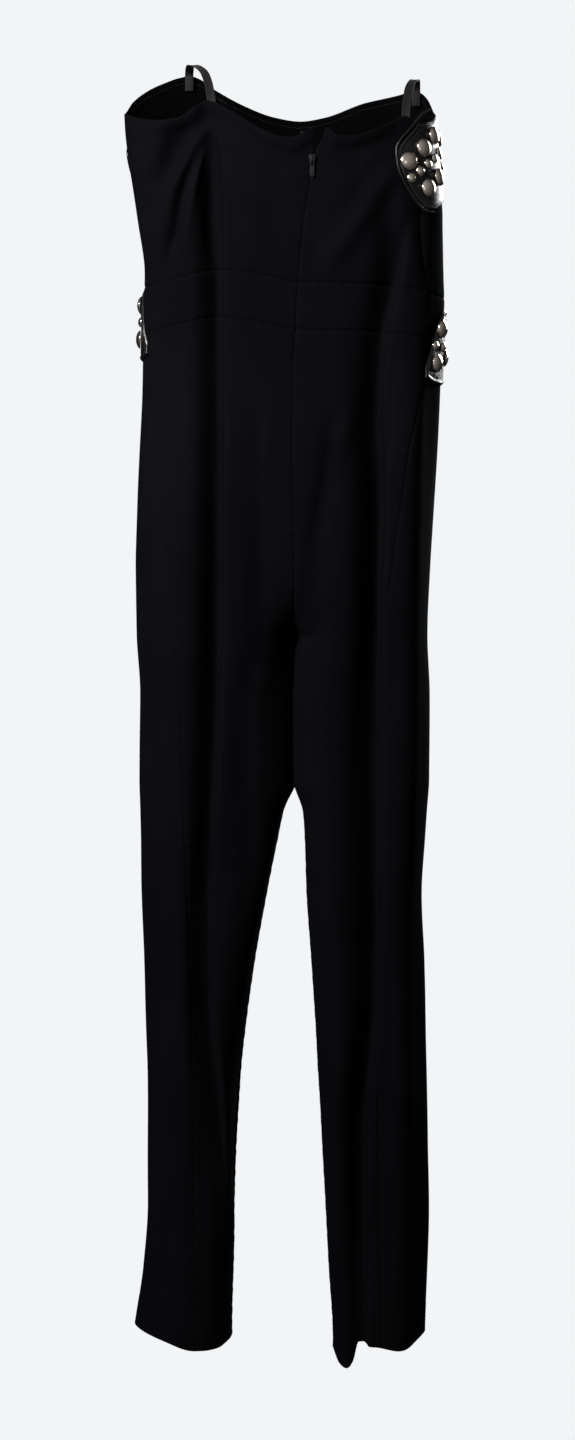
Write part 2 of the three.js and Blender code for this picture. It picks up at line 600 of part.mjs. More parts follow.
// Slider: a shouldered body with a bail over it, joined into one solid
async function sliderBody() {
  const wasm = await Module();
  wasm.setup();
  const { width, height, thick, shoulder } = SLIDER;
  const outline = new THREE.Shape();
  outline.moveTo(-width / 2 + shoulder, -height / 2);
  outline.lineTo(width / 2 - shoulder, -height / 2);
  outline.lineTo(width / 2, height / 2 - shoulder * 2);
  outline.lineTo(width / 2 - shoulder / 2, height / 2);
  outline.lineTo(-width / 2 + shoulder / 2, height / 2);
  outline.lineTo(-width / 2, height / 2 - shoulder * 2);
  outline.closePath();
  const body = new THREE.ExtrudeGeometry(outline, { depth: thick, bevelEnabled: false });
  const arch = new THREE.Shape();
  const innerHalf = BAIL.halfHeight - BAIL.bar;
  const innerReach = BAIL.reach - BAIL.bar;
  const foot = thick / 2;
  arch.moveTo(-foot, -BAIL.halfHeight);
  arch.absellipse(0, 0, BAIL.reach, BAIL.halfHeight, -Math.PI / 2, Math.PI / 2, false, 0);
  arch.lineTo(-foot, BAIL.halfHeight);
  arch.lineTo(-foot, innerHalf);
  arch.absellipse(0, 0, innerReach, innerHalf, Math.PI / 2, -Math.PI / 2, true, 0);
  arch.lineTo(-foot, -innerHalf);
  arch.closePath();
  const bail = new THREE.ExtrudeGeometry(arch, { depth: BAIL.width, curveSegments: 8, bevelEnabled: false });
  bail.translate(0, 0, -BAIL.width / 2);
  bail.rotateY(-Math.PI / 2);
  bail.translate(0, 0, thick);
  const solid = (geometry) => {
    const closed = facingOut(geometry);
    const vertProperties = new Float32Array(closed.getAttribute("position").array);
    return new wasm.Manifold(new wasm.Mesh({
      numProp: 3, vertProperties, triVerts: new Uint32Array(closed.getIndex().array),
    }));
  };
  const mesh = solid(body).add(solid(bail)).getMesh();
  const joined = new THREE.BufferGeometry();
  joined.setAttribute("position", new THREE.Float32BufferAttribute(mesh.vertProperties, 3));
  joined.setIndex(Array.from(mesh.triVerts));
  return facingOut(joined);
}

// Tab: a cross bar, two arms round a slot and a drop-shaped grip, its hinge line through 0
function pullTab() {
  const { barHalf, slotHalf, slotEnd, neck, wide, length, thick } = TAB;
  const outline = new THREE.Shape();
  outline.moveTo(-neck, barHalf);
  outline.lineTo(-neck, -slotEnd);
  outline.bezierCurveTo(-neck, -slotEnd - 4, -wide, -length + 6, -wide, -length + wide);
  outline.absarc(0, -length + wide, wide, Math.PI, Math.PI * 2, false);
  outline.bezierCurveTo(wide, -length + 6, neck, -slotEnd - 4, neck, -slotEnd);
  outline.lineTo(neck, barHalf);
  outline.closePath();
  const slot = new THREE.Path();
  slot.moveTo(-slotHalf, -barHalf);
  slot.lineTo(slotHalf, -barHalf);
  slot.lineTo(slotHalf, -slotEnd + 0.6);
  slot.lineTo(0, -slotEnd);
  slot.lineTo(-slotHalf, -slotEnd + 0.6);
  slot.closePath();
  outline.holes.push(slot);
  const geometry = new THREE.ExtrudeGeometry(outline, { depth: thick, curveSegments: 6, bevelEnabled: false });
  geometry.translate(0, 0, -thick / 2);
  return facingOut(geometry);
}

// The garment

const garment = new THREE.Group();

function add(parent, name, geometry, finish) {
  const mesh = new THREE.Mesh(geometry, new THREE.MeshStandardMaterial(finish));
  mesh.name = name;
  parent.add(mesh);
  return mesh;
}

function addCloth() {
  const halfGap = SEAM_GAP / 2;
  const above = (seam) => (column) => seam(column) + halfGap;
  const below = (seam) => (column) => seam(column) - halfGap;
  const bandFoot = (column) => waistSeam(column) - WAISTBAND_HEIGHT;
  const sections = [
    { part: "bodice", upper: topEdge, lower: above(waistSeam), shares: evenShares(BODICE_ROWS) },
    { part: "waistband", upper: below(waistSeam), lower: above(bandFoot), shares: evenShares(WAISTBAND_ROWS) },
    { part: "leg", upper: below(bandFoot), lower: hemEdge, shares: legShares() },
  ];
  for (const { part, upper, lower, shares } of sections) {
    for (const [name, side] of Object.entries(SIDES)) {
      const opened = part === "bodice" && side > 0;
      const back = opened ? backColumns(side, zipEdgeTurn) : backColumns(side);
      add(garment, `${part}_back_${name}`, clothPanel(back, upper, lower, shares), CREPE);
      if (part === "leg") {
        add(garment, `leg_front_${name}`, clothPanel(frontColumns(side), upper, lower, shares), CREPE);
      }
    }
    if (part !== "leg") {
      add(garment, `${part}_front`, clothPanel(wholeFrontColumns(), upper, lower, shares), CREPE);
    }
  }
}

function addStuds(part, studs, place, name, side) {
  const counts = { large: 0, small: 0 };
  for (const { size, along, z } of studs) {
    counts[size] += 1;
    const height = z + place.up;
    const turn = walked(side, place.turn, height, along);
    const label = `${part}_stud_${name}_${size}_${counts[size]}`;
    const mesh = add(garment, label, studDome(STUD[size]), STUD_METAL);
    mesh.position.copy(raised(side, turn, height, LEATHER_LIFT + LEATHER_THICK + STUD_LIFT));
    mesh.quaternion.setFromUnitVectors(new THREE.Vector3(0, 1, 0), clothNormal(side, turn, height));
  }
}

function addLeather() {
  for (const [name, side] of Object.entries(SIDES)) {
    add(garment, `bust_leather_${name}`, leatherPanel(BUST_PANEL, BUST_PLACE[name], side), LEATHER);
    add(garment, `bust_piping_${name}`, pipingAlong(BUST_PANEL, BUST_PLACE[name], side), LEATHER);
    add(garment, `hip_leather_${name}`, leatherPanel(HIP_PANEL, HIP_PLACE[name], side), LEATHER);
    addStuds("bust", BUST_STUDS, BUST_PLACE[name], name, side);
    addStuds("hip", HIP_STUDS, HIP_PLACE[name], name, side);
  }
}

async function addZip() {
  add(garment, "zip_tape_left", zipTape(-1), ZIP_TAPE);
  add(garment, "zip_tape_right", zipTape(1), ZIP_TAPE);
  const above = raised(-1, 0.001, SLIDER.z + SLIDER.height / 2, SLIDER.lift);
  const beneath = raised(-1, 0.001, SLIDER.z - SLIDER.height / 2, SLIDER.lift);
  const slider = new THREE.Group();
  slider.position.copy(above.clone().lerp(beneath, 0.5));
  slider.rotation.x = Math.PI / 2 + Math.atan2(above.y - beneath.y, above.z - beneath.z);
  garment.add(slider);
  add(slider, "zip_slider", await sliderBody(), ZIP_METAL);
  add(slider, "zip_pull_tab", pullTab(), ZIP_METAL).position.set(0, HINGE.up, HINGE.out);
}

function addLoops() {
  for (const [name, side] of Object.entries(SIDES)) {
    add(garment, `hanger_loop_${name}`, hangerLoop(side, LOOPS[name]), RIBBON);
  }
}

addCloth();
addLeather();
await addZip();
addLoops();

export default garment;
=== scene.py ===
"""A strapless full-length jumpsuit in black crepe, hanging hollow from two ribbon loops.

Tables and sizes are in millimetres, in the frame of the solids: +Z up, -Y the wearer's back,
-X the wearer's left. Every mesh is written in metres.
"""

from __future__ import annotations

import logging
import math
from dataclasses import dataclass
from enum import Enum
from functools import lru_cache
from typing import Any, Callable, Sequence

import bpy
import numpy as np
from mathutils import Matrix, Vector


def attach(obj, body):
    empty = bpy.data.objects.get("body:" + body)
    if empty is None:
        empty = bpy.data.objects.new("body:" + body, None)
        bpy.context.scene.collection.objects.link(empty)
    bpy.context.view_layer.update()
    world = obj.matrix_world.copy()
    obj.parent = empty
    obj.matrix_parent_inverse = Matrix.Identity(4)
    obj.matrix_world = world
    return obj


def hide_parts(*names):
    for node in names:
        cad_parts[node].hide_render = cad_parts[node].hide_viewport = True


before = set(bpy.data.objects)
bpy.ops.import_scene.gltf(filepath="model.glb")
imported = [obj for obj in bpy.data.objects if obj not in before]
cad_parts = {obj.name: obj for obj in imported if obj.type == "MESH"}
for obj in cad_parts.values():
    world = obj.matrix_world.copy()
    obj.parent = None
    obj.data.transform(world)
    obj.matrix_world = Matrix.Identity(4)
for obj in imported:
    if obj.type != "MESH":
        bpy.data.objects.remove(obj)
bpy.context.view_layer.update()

log = logging.getLogger("jumpsuit")

MM = 0.001
Array = np.ndarray


# Tables and smooth values between their rows

@dataclass(frozen=True)
class Table:
    """Rows with named columns. The first column is the key."""

    columns: tuple[str, ...]
    rows: tuple[tuple[float, ...], ...]

    def value(self, name: str, at: Array | float) -> Array:
        """The named column at keys, by cubic pieces that don't overshoot the rows.

        Args:
            name: the column read.
            at: one key or an array of keys.

        Returns:
            The values, shaped as the keys are.
        """
        keys, values = dense(self, name)
        return np.interp(at, keys, values)

    def shifted(self, by: float) -> Table:
        """The same path moved sideways."""
        rows = tuple((row[0], row[1] + by, *row[2:]) for row in self.rows)
        return Table(self.columns, rows)


@lru_cache(maxsize=None)
def dense(table: Table, name: str) -> tuple[Array, Array]:
    """A column sampled every half millimetre of its key.

    Args:
        table: the table sampled.
        name: the column sampled.

    Returns:
        The keys, rising, and the values at them.
    """
    place = table.columns.index(name)
    rows = sorted((row[0], row[place]) for row in table.rows)
    keys = np.array([row[0] for row in rows], float)
    values = np.array([row[1] for row in rows], float)
    run = np.diff(keys)
    slope = np.diff(values) / run
    tangent = np.empty(len(keys))
    tangent[0], tangent[-1] = slope[0], slope[-1]
    before, after = slope[:-1], slope[1:]
    same = before * after > 0
    total = np.where(same, before + after, 1.0)
    tangent[1:-1] = np.where(same, 2 * before * after / total, 0.0)
    at = np.arange(keys[0], keys[-1] + 0.25, 0.5)
    i = np.clip(np.searchsorted(keys, at, side="right") - 1, 0, len(run) - 1)
    t = (at - keys[i]) / run[i]
    rise = values[i + 1] - values[i]
    a, b = tangent[i] * run[i], tangent[i + 1] * run[i]
    return at, values[i] + a * t + (3 * rise - 2 * a - b) * t**2 + (a + b - 2 * rise) * t**3


def path(*rows: tuple[float, float, float]) -> Table:
    """A line down the cloth: height, place across and strength."""
    return Table(("z", "x", "strength"), rows)


SECTIONS = Table(("z", "left", "centre", "split", "right", "back", "front"), (
    (10, -190, 9, 0, 137, 50, 54),
    (-45, -191, 8.5, 0, 137, 52, 55),
    (-85, -188, 8, 0, 139, 55, 58),
    (-120, -181, 4, 0, 143.5, 57, 60),
    (-160, -176, -2, 0, 146, 57, 59),
    (-210, -171, -7, 0, 147, 53, 55),
    (-245, -172, -9.5, 0, 148, 51, 53),
    (-290, -173, -12, 0, 146, 52, 54),
    (-340, -174, -13.5, 0, 144, 55, 56),
    (-400, -177, -14, 0, 141, 60, 58),
    (-460, -180, -13, 0, 138, 63, 59),
    (-530, -183, -12, 0, 134.5, 62, 58),
    (-595, -183, -12, 0, 133, 57, 54),
    (-660, -180, -9, 0, 135, 51, 49),
    (-752, -180, -10, 0, 134.5, 46, 45),
    (-787, -179, -12.5, 9.8, 132, 45, 44),
    (-820, -178, -15, 14, 130, 44, 43),
    (-885, -176, -20.5, 21.5, 127, 43, 42),
    (-950, -173.5, -24, 30, 129, 41, 41),
    (-1020, -172, -26, 37, 131, 40, 40),
    (-1085, -171, -28, 42, 132.5, 40, 39),
    (-1150, -171, -28, 46, 134, 40, 39),
    (-1220, -171, -27.5, 49.5, 135, 41, 40),
    (-1290, -176, -26, 52, 134, 43, 41),
    (-1370, -189, -24.5, 54.5, 132, 46, 43),
    (-1410, -192, -24.5, 54.5, 131, 47, 44),
))
TOP_BACK = Table(("x", "z"), (
    (-191, -44), (-178, -50), (-155, -54), (-134, -52), (-118, -43), (-102, -35), (-85, -42),
    (-62, -56), (-35, -70), (-17, -74), (-2, -69), (8, -63), (21, -64), (34, -72), (48, -73),
    (67, -67), (87, -58), (104, -50), (117, -55), (130, -52), (137, -44),
))
TOP_FRONT = Table(("x", "z"), (
    (-191, -44), (-183, -30), (-166, -16), (-150, -8), (-134, -2), (-123, 0), (-113, -3),
    (-97, -14), (-65, -31), (-32, -43), (-5, -47), (21, -43), (64, -28), (102, -20),
    (115, -17), (124, -20), (131, -28), (137, -44),
))
WAIST_BACK = Table(("x", "z"), (
    (-172, -226), (-133, -217), (-92, -209), (-55, -213), (-10, -222), (60, -224), (110, -228),
    (148, -238),
))
WAIST_FRONT = Table(("x", "z"), (
    (-172, -226), (-100, -222), (0, -226), (100, -231), (148, -238),
))
HEM_BACK = Table(("x", "z"), (
    (-189, -1357), (-152, -1366), (-120, -1374), (-95, -1374), (-79, -1370),
    (30, -1384), (37, -1394), (46, -1398), (53, -1391), (59, -1370), (77, -1370), (105, -1375),
    (132, -1366),
))
HEM_FRONT = Table(("x", "z"), (
    (-189, -1357), (-130, -1368), (-79, -1370), (30, -1386), (60, -1378), (100, -1373),
    (132, -1366),
))
SIDE_SEAM_LEFT = Table(("z", "x"), (
    (-44, -184), (-160, -169), (-240, -166), (-325, -168), (-361, -164), (-423, -156),
    (-504, -146), (-592, -139), (-692, -132), (-800, -129), (-1000, -122), (-1370, -118),
))
SIDE_SEAM_RIGHT = Table(("z", "x"), (
    (-44, 125), (-160, 122), (-235, 130), (-290, 130), (-342, 122), (-400, 110), (-442, 105),
    (-487, 99), (-521, 95), (-578, 88), (-700, 86), (-1000, 82), (-1370, 86),
))
ZIP_RIGHT_EDGE = Table(("z", "x"), ((-60, 21), (-66, 20.5), (-92, 8.3), (-110, 4.9)))

PLEAT_LEFT = path(
    (-36, -95, 0.1), (-85, -86, 0.5), (-130, -82, 0.95), (-235, -81, 1), (-381, -81, 1), (-549, -82, 1),
    (-663, -83, 1), (-773, -89, 1), (-882, -94, 1), (-990, -94, 0.9), (-1098, -84, 0.8), (-1175, -80, 0.5),
    (-1235, -76, 0.2), (-1400, -76, 0.1),
)
PLEAT_RIGHT = path(
    (-40, 110, 0), (-150, 111, 0.02), (-190, 109, 0.45), (-235, 100, 0.7), (-295, 90, 0.8), (-370, 87, 1),
    (-447, 89, 1), (-556, 87, 1), (-773, 87, 1), (-990, 86, 1), (-1060, 80, 1), (-1120, 74, 1), (-1400, 73, 0.7),
)
PLEAT_FRONT_LEFT = path(
    (0, -110, 0), (-120, -104, 0.5), (-240, -100, 0.3), (-400, -96, 0.8), (-700, -98, 1),
    (-1000, -108, 1), (-1400, -118, 0.8),
)
PLEAT_FRONT_RIGHT = path(
    (0, 84, 0), (-120, 80, 0.5), (-240, 78, 0.3), (-400, 72, 0.8), (-700, 66, 1),
    (-1000, 72, 1), (-1400, 84, 0.8),
)


class Face(Enum):
    """Which side of the garment a fold lies on. Side folds are placed by depth, not width."""

    BACK = "back"
    FRONT = "front"
    LEFT = "left"
    RIGHT = "right"


@dataclass(frozen=True)
class Fold:
    """A soft ridge, or a trough where its depth is negative, along a path down the cloth."""

    face: Face
    depth: float
    left: float
    right: float
    line: Table
    power: float = 2.0

    def height(self, across: Array, z: Array) -> Array:
        """How far the fold stands out.

        Args:
            across: place across the face.
            z: heights.

        Returns:
            The fold's own height over the cloth.
        """
        off = across - self.line.value("x", z)
        width = np.where(off < 0, self.left, self.right)
        return self.depth * self.line.value("strength", z) * np.exp(-np.abs(off / width) ** self.power)


# The folds of the solids' own form
FOLDS = (
    Fold(Face.BACK, 6, 6, 40, PLEAT_LEFT),
    Fold(Face.BACK, -24, 18, 6, PLEAT_LEFT.shifted(-9)),
    Fold(Face.BACK, 4, 6, 30, PLEAT_RIGHT),
    Fold(Face.BACK, -26, 20, 6, PLEAT_RIGHT.shifted(-9)),
    Fold(Face.FRONT, 8, 30, 12, PLEAT_FRONT_LEFT),
    Fold(Face.FRONT, -9, 14, 22, PLEAT_FRONT_LEFT.shifted(20)),
    Fold(Face.FRONT, 8, 12, 30, PLEAT_FRONT_RIGHT),
    Fold(Face.FRONT, -9, 22, 14, PLEAT_FRONT_RIGHT.shifted(-20)),
    Fold(Face.BACK, 7, 9, 9, path(
        (-66, -113, 0), (-88, -122, 0.9), (-125, -140, 1), (-170, -152, 0.8), (-218, -160, 0))),
    Fold(Face.BACK, -10, 8, 6, path(
        (-68, -105, 0), (-92, -113, 0.8), (-128, -126, 1), (-164, -133, 1), (-200, -144, 0.6), (-228, -151, 0))),
    Fold(Face.BACK, 5, 6, 7, path(
        (-56, -101, 0), (-68, -105, 0.7), (-117, -116, 1), (-154, -124, 0.8), (-200, -132, 0))),
    Fold(Face.BACK, -9, 30, 14, path(
        (-44, -130, 0), (-64, -128, 0.6), (-86, -132, 1), (-106, -140, 0.6), (-126, -150, 0))),
    Fold(Face.BACK, 1.5, 14, 14, path(
        (-74, 86, 0), (-95, 66, 0.8), (-120, 42, 1), (-146, 22, 0.4), (-165, 10, 0))),
    Fold(Face.BACK, 5, 14, 14, path(
        (-98, 96, 0), (-130, 76, 1), (-170, 48, 1), (-210, 24, 0.3), (-232, 14, 0))),
    Fold(Face.BACK, -3, 12, 10, path((-110, 92, 0), (-138, 86, 1), (-180, 84, 1), (-225, 84, 0))),
    Fold(Face.BACK, -5, 16, 12, path((-380, 42, 0), (-430, 32, 1), (-500, 20, 0.7), (-560, 12, 0))),
    Fold(Face.BACK, 7, 22, 30, path(
        (-290, -140, 0), (-400, -138, 0.8), (-600, -136, 1), (-900, -134, 1), (-1290, -134, 1), (-1400, -136, 0.7))),
    Fold(Face.BACK, 25, 24, 10, path(
        (-150, 126, 0), (-200, 128, 0.35), (-290, 124, 0.5), (-380, 120, 0.9), (-600, 119, 1), (-800, 116, 0.9),
        (-1000, 112, 0.7), (-1400, 112, 0.45))),
    Fold(Face.BACK, -5, 15, 12, path(
        (-350, -49, 0), (-400, -48, 0.8), (-500, -48, 1), (-600, -49, 0.9), (-700, -54, 1), (-800, -57, 1),
        (-900, -62, 0.6), (-1000, -66, 0))),
)

# How the back's top edge stands out over the cloth below it: its height, how far down it reaches
# and how softly it falls away
LIP = Table(("x", "height", "reach", "fall"), (
    (-168, 0, 9, 4), (-142, 7, 10, 3.2), (-118, 8, 12, 3.4), (-102, 3, 12, 3), (-86, 3.5, 9, 1.6), (-60, 5, 9, 1.5),
    (-30, 5.5, 11, 1.7), (-6, 5, 15, 2.4), (8, 3, 14, 2.4), (20, 6.5, 11, 2.4), (34, 8, 10, 2.8), (66, 8, 11, 3),
    (84, 4, 13, 3), (94, 0, 14, 4),
))

# Finer creases that lie over that form: main ones of the back, then the front and the sides
CREASES = (
    Fold(Face.BACK, 1.4, 6, 6, path((-300, 86, 0), (-324, 85, 0.8), (-366, 83, 1), (-439, 79, 0))),
    Fold(Face.BACK, -3.0, 7, 4, path((-290, 96, 0), (-324, 93, 0.8), (-366, 91, 1), (-439, 88, 0))),
    Fold(Face.BACK, -5, 12, 5, path((-66, -97, 0), (-86, -98, 0.8), (-125, -97, 1), (-170, -96, 0.8), (-215, -95, 0))),
    Fold(Face.BACK, 1.8, 6, 8, path((-110, 101, 0), (-150, 102, 0.9), (-215, 104, 0.7), (-262, 106, 0.6), (-330, 104, 0))),
    Fold(Face.BACK, -2.2, 5, 6, path((-130, 119, 0), (-163, 122, 0.9), (-200, 126, 1), (-236, 131, 0))),
    Fold(Face.BACK, 1.6, 8, 9, path((-330, -38, 0), (-375, -40, 1), (-436, -44, 0.8), (-500, -46, 0.3), (-560, -47, 0))),
    Fold(Face.BACK, 3.0, 9, 9, path((-345, 45, 0), (-380, 41, 1), (-461, 30, 0.9), (-520, 18, 0))),
    Fold(Face.BACK, -2.4, 8, 8, path((-350, 30, 0), (-390, 26, 1), (-461, 14, 0.9), (-530, 4, 0))),
    Fold(Face.BACK, 1.2, 10, 10, path((-540, -45, 0), (-595, -48, 1), (-660, -52, 0.7), (-730, -54, 0))),
    Fold(Face.BACK, 0.8, 7, 8, path((-530, -42, 0), (-550, -32, 0.8), (-575, -21, 1), (-605, -12, 0))),
    Fold(Face.BACK, 0.8, 8, 7, path((-530, 28, 0), (-550, 18, 0.8), (-575, 8, 1), (-600, -2, 0))),
    Fold(Face.BACK, 1.5, 8, 10, path((-860, -134, 0), (-900, -134, 1), (-1100, -135, 1), (-1280, -133, 0.6), (-1360, -132, 0))),
    Fold(Face.BACK, -1.6, 7, 8, path((-840, -121, 0), (-900, -120, 1), (-1095, -116, 1), (-1300, -111, 0.5), (-1370, -110, 0))),
    Fold(Face.BACK, 1.3, 7, 9, path((-1120, -95, 0), (-1178, -92, 1), (-1265, -79, 1), (-1350, -77, 0.4))),
    Fold(Face.BACK, -1.0, 9, 9, path((-640, 60, 0), (-760, 52, 1), (-900, 50, 0.8), (-1100, 44, 0))),
    Fold(Face.BACK, 1.0, 8, 10, path((-900, 108, 0), (-1000, 106, 1), (-1200, 104, 0.8), (-1372, 106, 0.6))),
    Fold(Face.BACK, -1.0, 9, 8, path((-960, 94, 0), (-1080, 90, 1), (-1240, 84, 1), (-1372, 82, 0.6))),
    Fold(Face.BACK, 1.6, 9, 6, path((-1290, 44, 0), (-1340, 45, 0.8), (-1396, 46, 1))),
    Fold(Face.BACK, 8, 28, 13, path((-50, -160, 0), (-64, -154, 0.8), (-88, -157, 1), (-112, -162, 0.7), (-146, -168, 0))),
    Fold(Face.BACK, -5, 14, 9, path((-54, -128, 0), (-68, -126, 0.9), (-90, -132, 1), (-110, -144, 0.7), (-134, -156, 0))),
    Fold(Face.BACK, 5, 24, 4, path(
        (-620, -18, 0), (-660, -18.5, 0.8), (-752, -19, 1), (-787, -31, 1), (-820, -38, 0.9), (-885, -51, 0.6),
        (-950, -63, 0.3), (-1020, -72, 0))),
    Fold(Face.BACK, -2.0, 8, 14, path((-96, -38, 0), (-104, -24, 1), (-110, -12, 0))),
    Fold(Face.BACK, 1.2, 12, 14, path((-120, -60, 0), (-150, -52, 0.7), (-190, -44, 1), (-216, -40, 0))),
    Fold(Face.BACK, -0.9, 12, 12, path((-130, -40, 0), (-160, -32, 1), (-200, -26, 0))),
    Fold(Face.FRONT, 1.8, 14, 6, path((-300, -98, 0), (-400, -96, 0.8), (-700, -98, 1), (-1000, -108, 1), (-1340, -117, 0.4)), 1.6),
    Fold(Face.FRONT, 1.8, 6, 14, path((-300, 76, 0), (-400, 72, 0.8), (-700, 66, 1), (-1000, 72, 1), (-1340, 82, 0.4)), 1.6),
    Fold(Face.FRONT, 2.4, 10, 12, path((-60, -70, 0), (-100, -82, 0.9), (-160, -98, 1), (-214, -112, 0))),
    Fold(Face.FRONT, -1.8, 8, 8, path((-70, -52, 0), (-110, -62, 1), (-170, -74, 0.8), (-216, -84, 0))),
    Fold(Face.FRONT, 2.2, 12, 10, path((-56, 60, 0), (-100, 70, 0.9), (-160, 84, 1), (-214, 96, 0))),
    Fold(Face.FRONT, -1.6, 9, 9, path((-66, 40, 0), (-110, 46, 1), (-170, 56, 0.8), (-216, 64, 0))),
    Fold(Face.FRONT, 1.2, 18, 18, path((-90, -12, 0), (-130, -8, 1), (-190, -10, 0.7), (-218, -12, 0))),
    Fold(Face.FRONT, 1.6, 12, 12, path((-330, -40, 0), (-380, -38, 0.9), (-450, -30, 1), (-530, -20, 0))),
    Fold(Face.FRONT, -1.4, 10, 10, path((-340, 14, 0), (-400, 10, 1), (-480, 2, 0.8), (-550, -4, 0))),
    Fold(Face.FRONT, 1.8, 8, 8, path((-520, -48, 0), (-548, -36, 0.8), (-580, -22, 1), (-612, -14, 0))),
    Fold(Face.FRONT, 1.6, 8, 8, path((-515, 30, 0), (-545, 18, 0.9), (-578, 4, 1), (-606, -4, 0))),
    Fold(Face.FRONT, -1.4, 12, 12, path((-820, -136, 0), (-940, -140, 1), (-1180, -146, 0.8), (-1350, -150, 0.4))),
    Fold(Face.FRONT, -1.4, 12, 12, path((-860, 104, 0), (-980, 108, 1), (-1200, 112, 0.8), (-1350, 114, 0.4))),
    Fold(Face.FRONT, 1.2, 12, 12, path((-900, -80, 0), (-1040, -84, 0.8), (-1220, -92, 1), (-1350, -96, 0.5))),
    Fold(Face.LEFT, 1.6, 9, 12, path((-330, 10, 0), (-420, 14, 0.8), (-620, 18, 1), (-800, 12, 0.6), (-900, 8, 0))),
    Fold(Face.LEFT, -1.8, 10, 9, path((-360, -8, 0), (-460, -6, 1), (-650, -2, 1), (-860, -6, 0))),
    Fold(Face.LEFT, 1.6, 9, 9, path((-820, 0, 0), (-960, 4, 1), (-1160, 2, 1), (-1350, -4, 0.5))),
    Fold(Face.LEFT, 2.0, 9, 11, path((-90, -8, 0), (-130, 2, 1), (-190, 10, 0.6), (-222, 14, 0))),
    Fold(Face.RIGHT, -1.8, 8, 8, path((-150, 4, 0), (-176, 8, 1), (-205, 12, 0.8), (-228, 14, 0))),
    Fold(Face.RIGHT, 1.7, 12, 9, path((-370, 12, 0), (-460, 16, 0.9), (-640, 14, 1), (-840, 8, 0))),
    Fold(Face.RIGHT, -1.6, 9, 10, path((-380, -12, 0), (-500, -8, 1), (-700, -6, 0.9), (-900, -10, 0))),
    Fold(Face.RIGHT, 1.5, 9, 9, path((-860, -2, 0), (-1000, 4, 1), (-1200, 2, 1), (-1360, -2, 0.5))),
)


# How far each main pleat's crest leans over the trough beside it
LEANS = (
    Fold(Face.BACK, -4, 5, 18, PLEAT_LEFT.shifted(1)),
    Fold(Face.BACK, -4, 5, 20, PLEAT_RIGHT.shifted(1)),
)


class Side(Enum):
    """Half of the garment, as the wearer's left or right."""

    LEFT = -1
    RIGHT = 1

    @property
    def word(self) -> str:
        """The side's name as the nodes give it."""
        return self.name.lower()


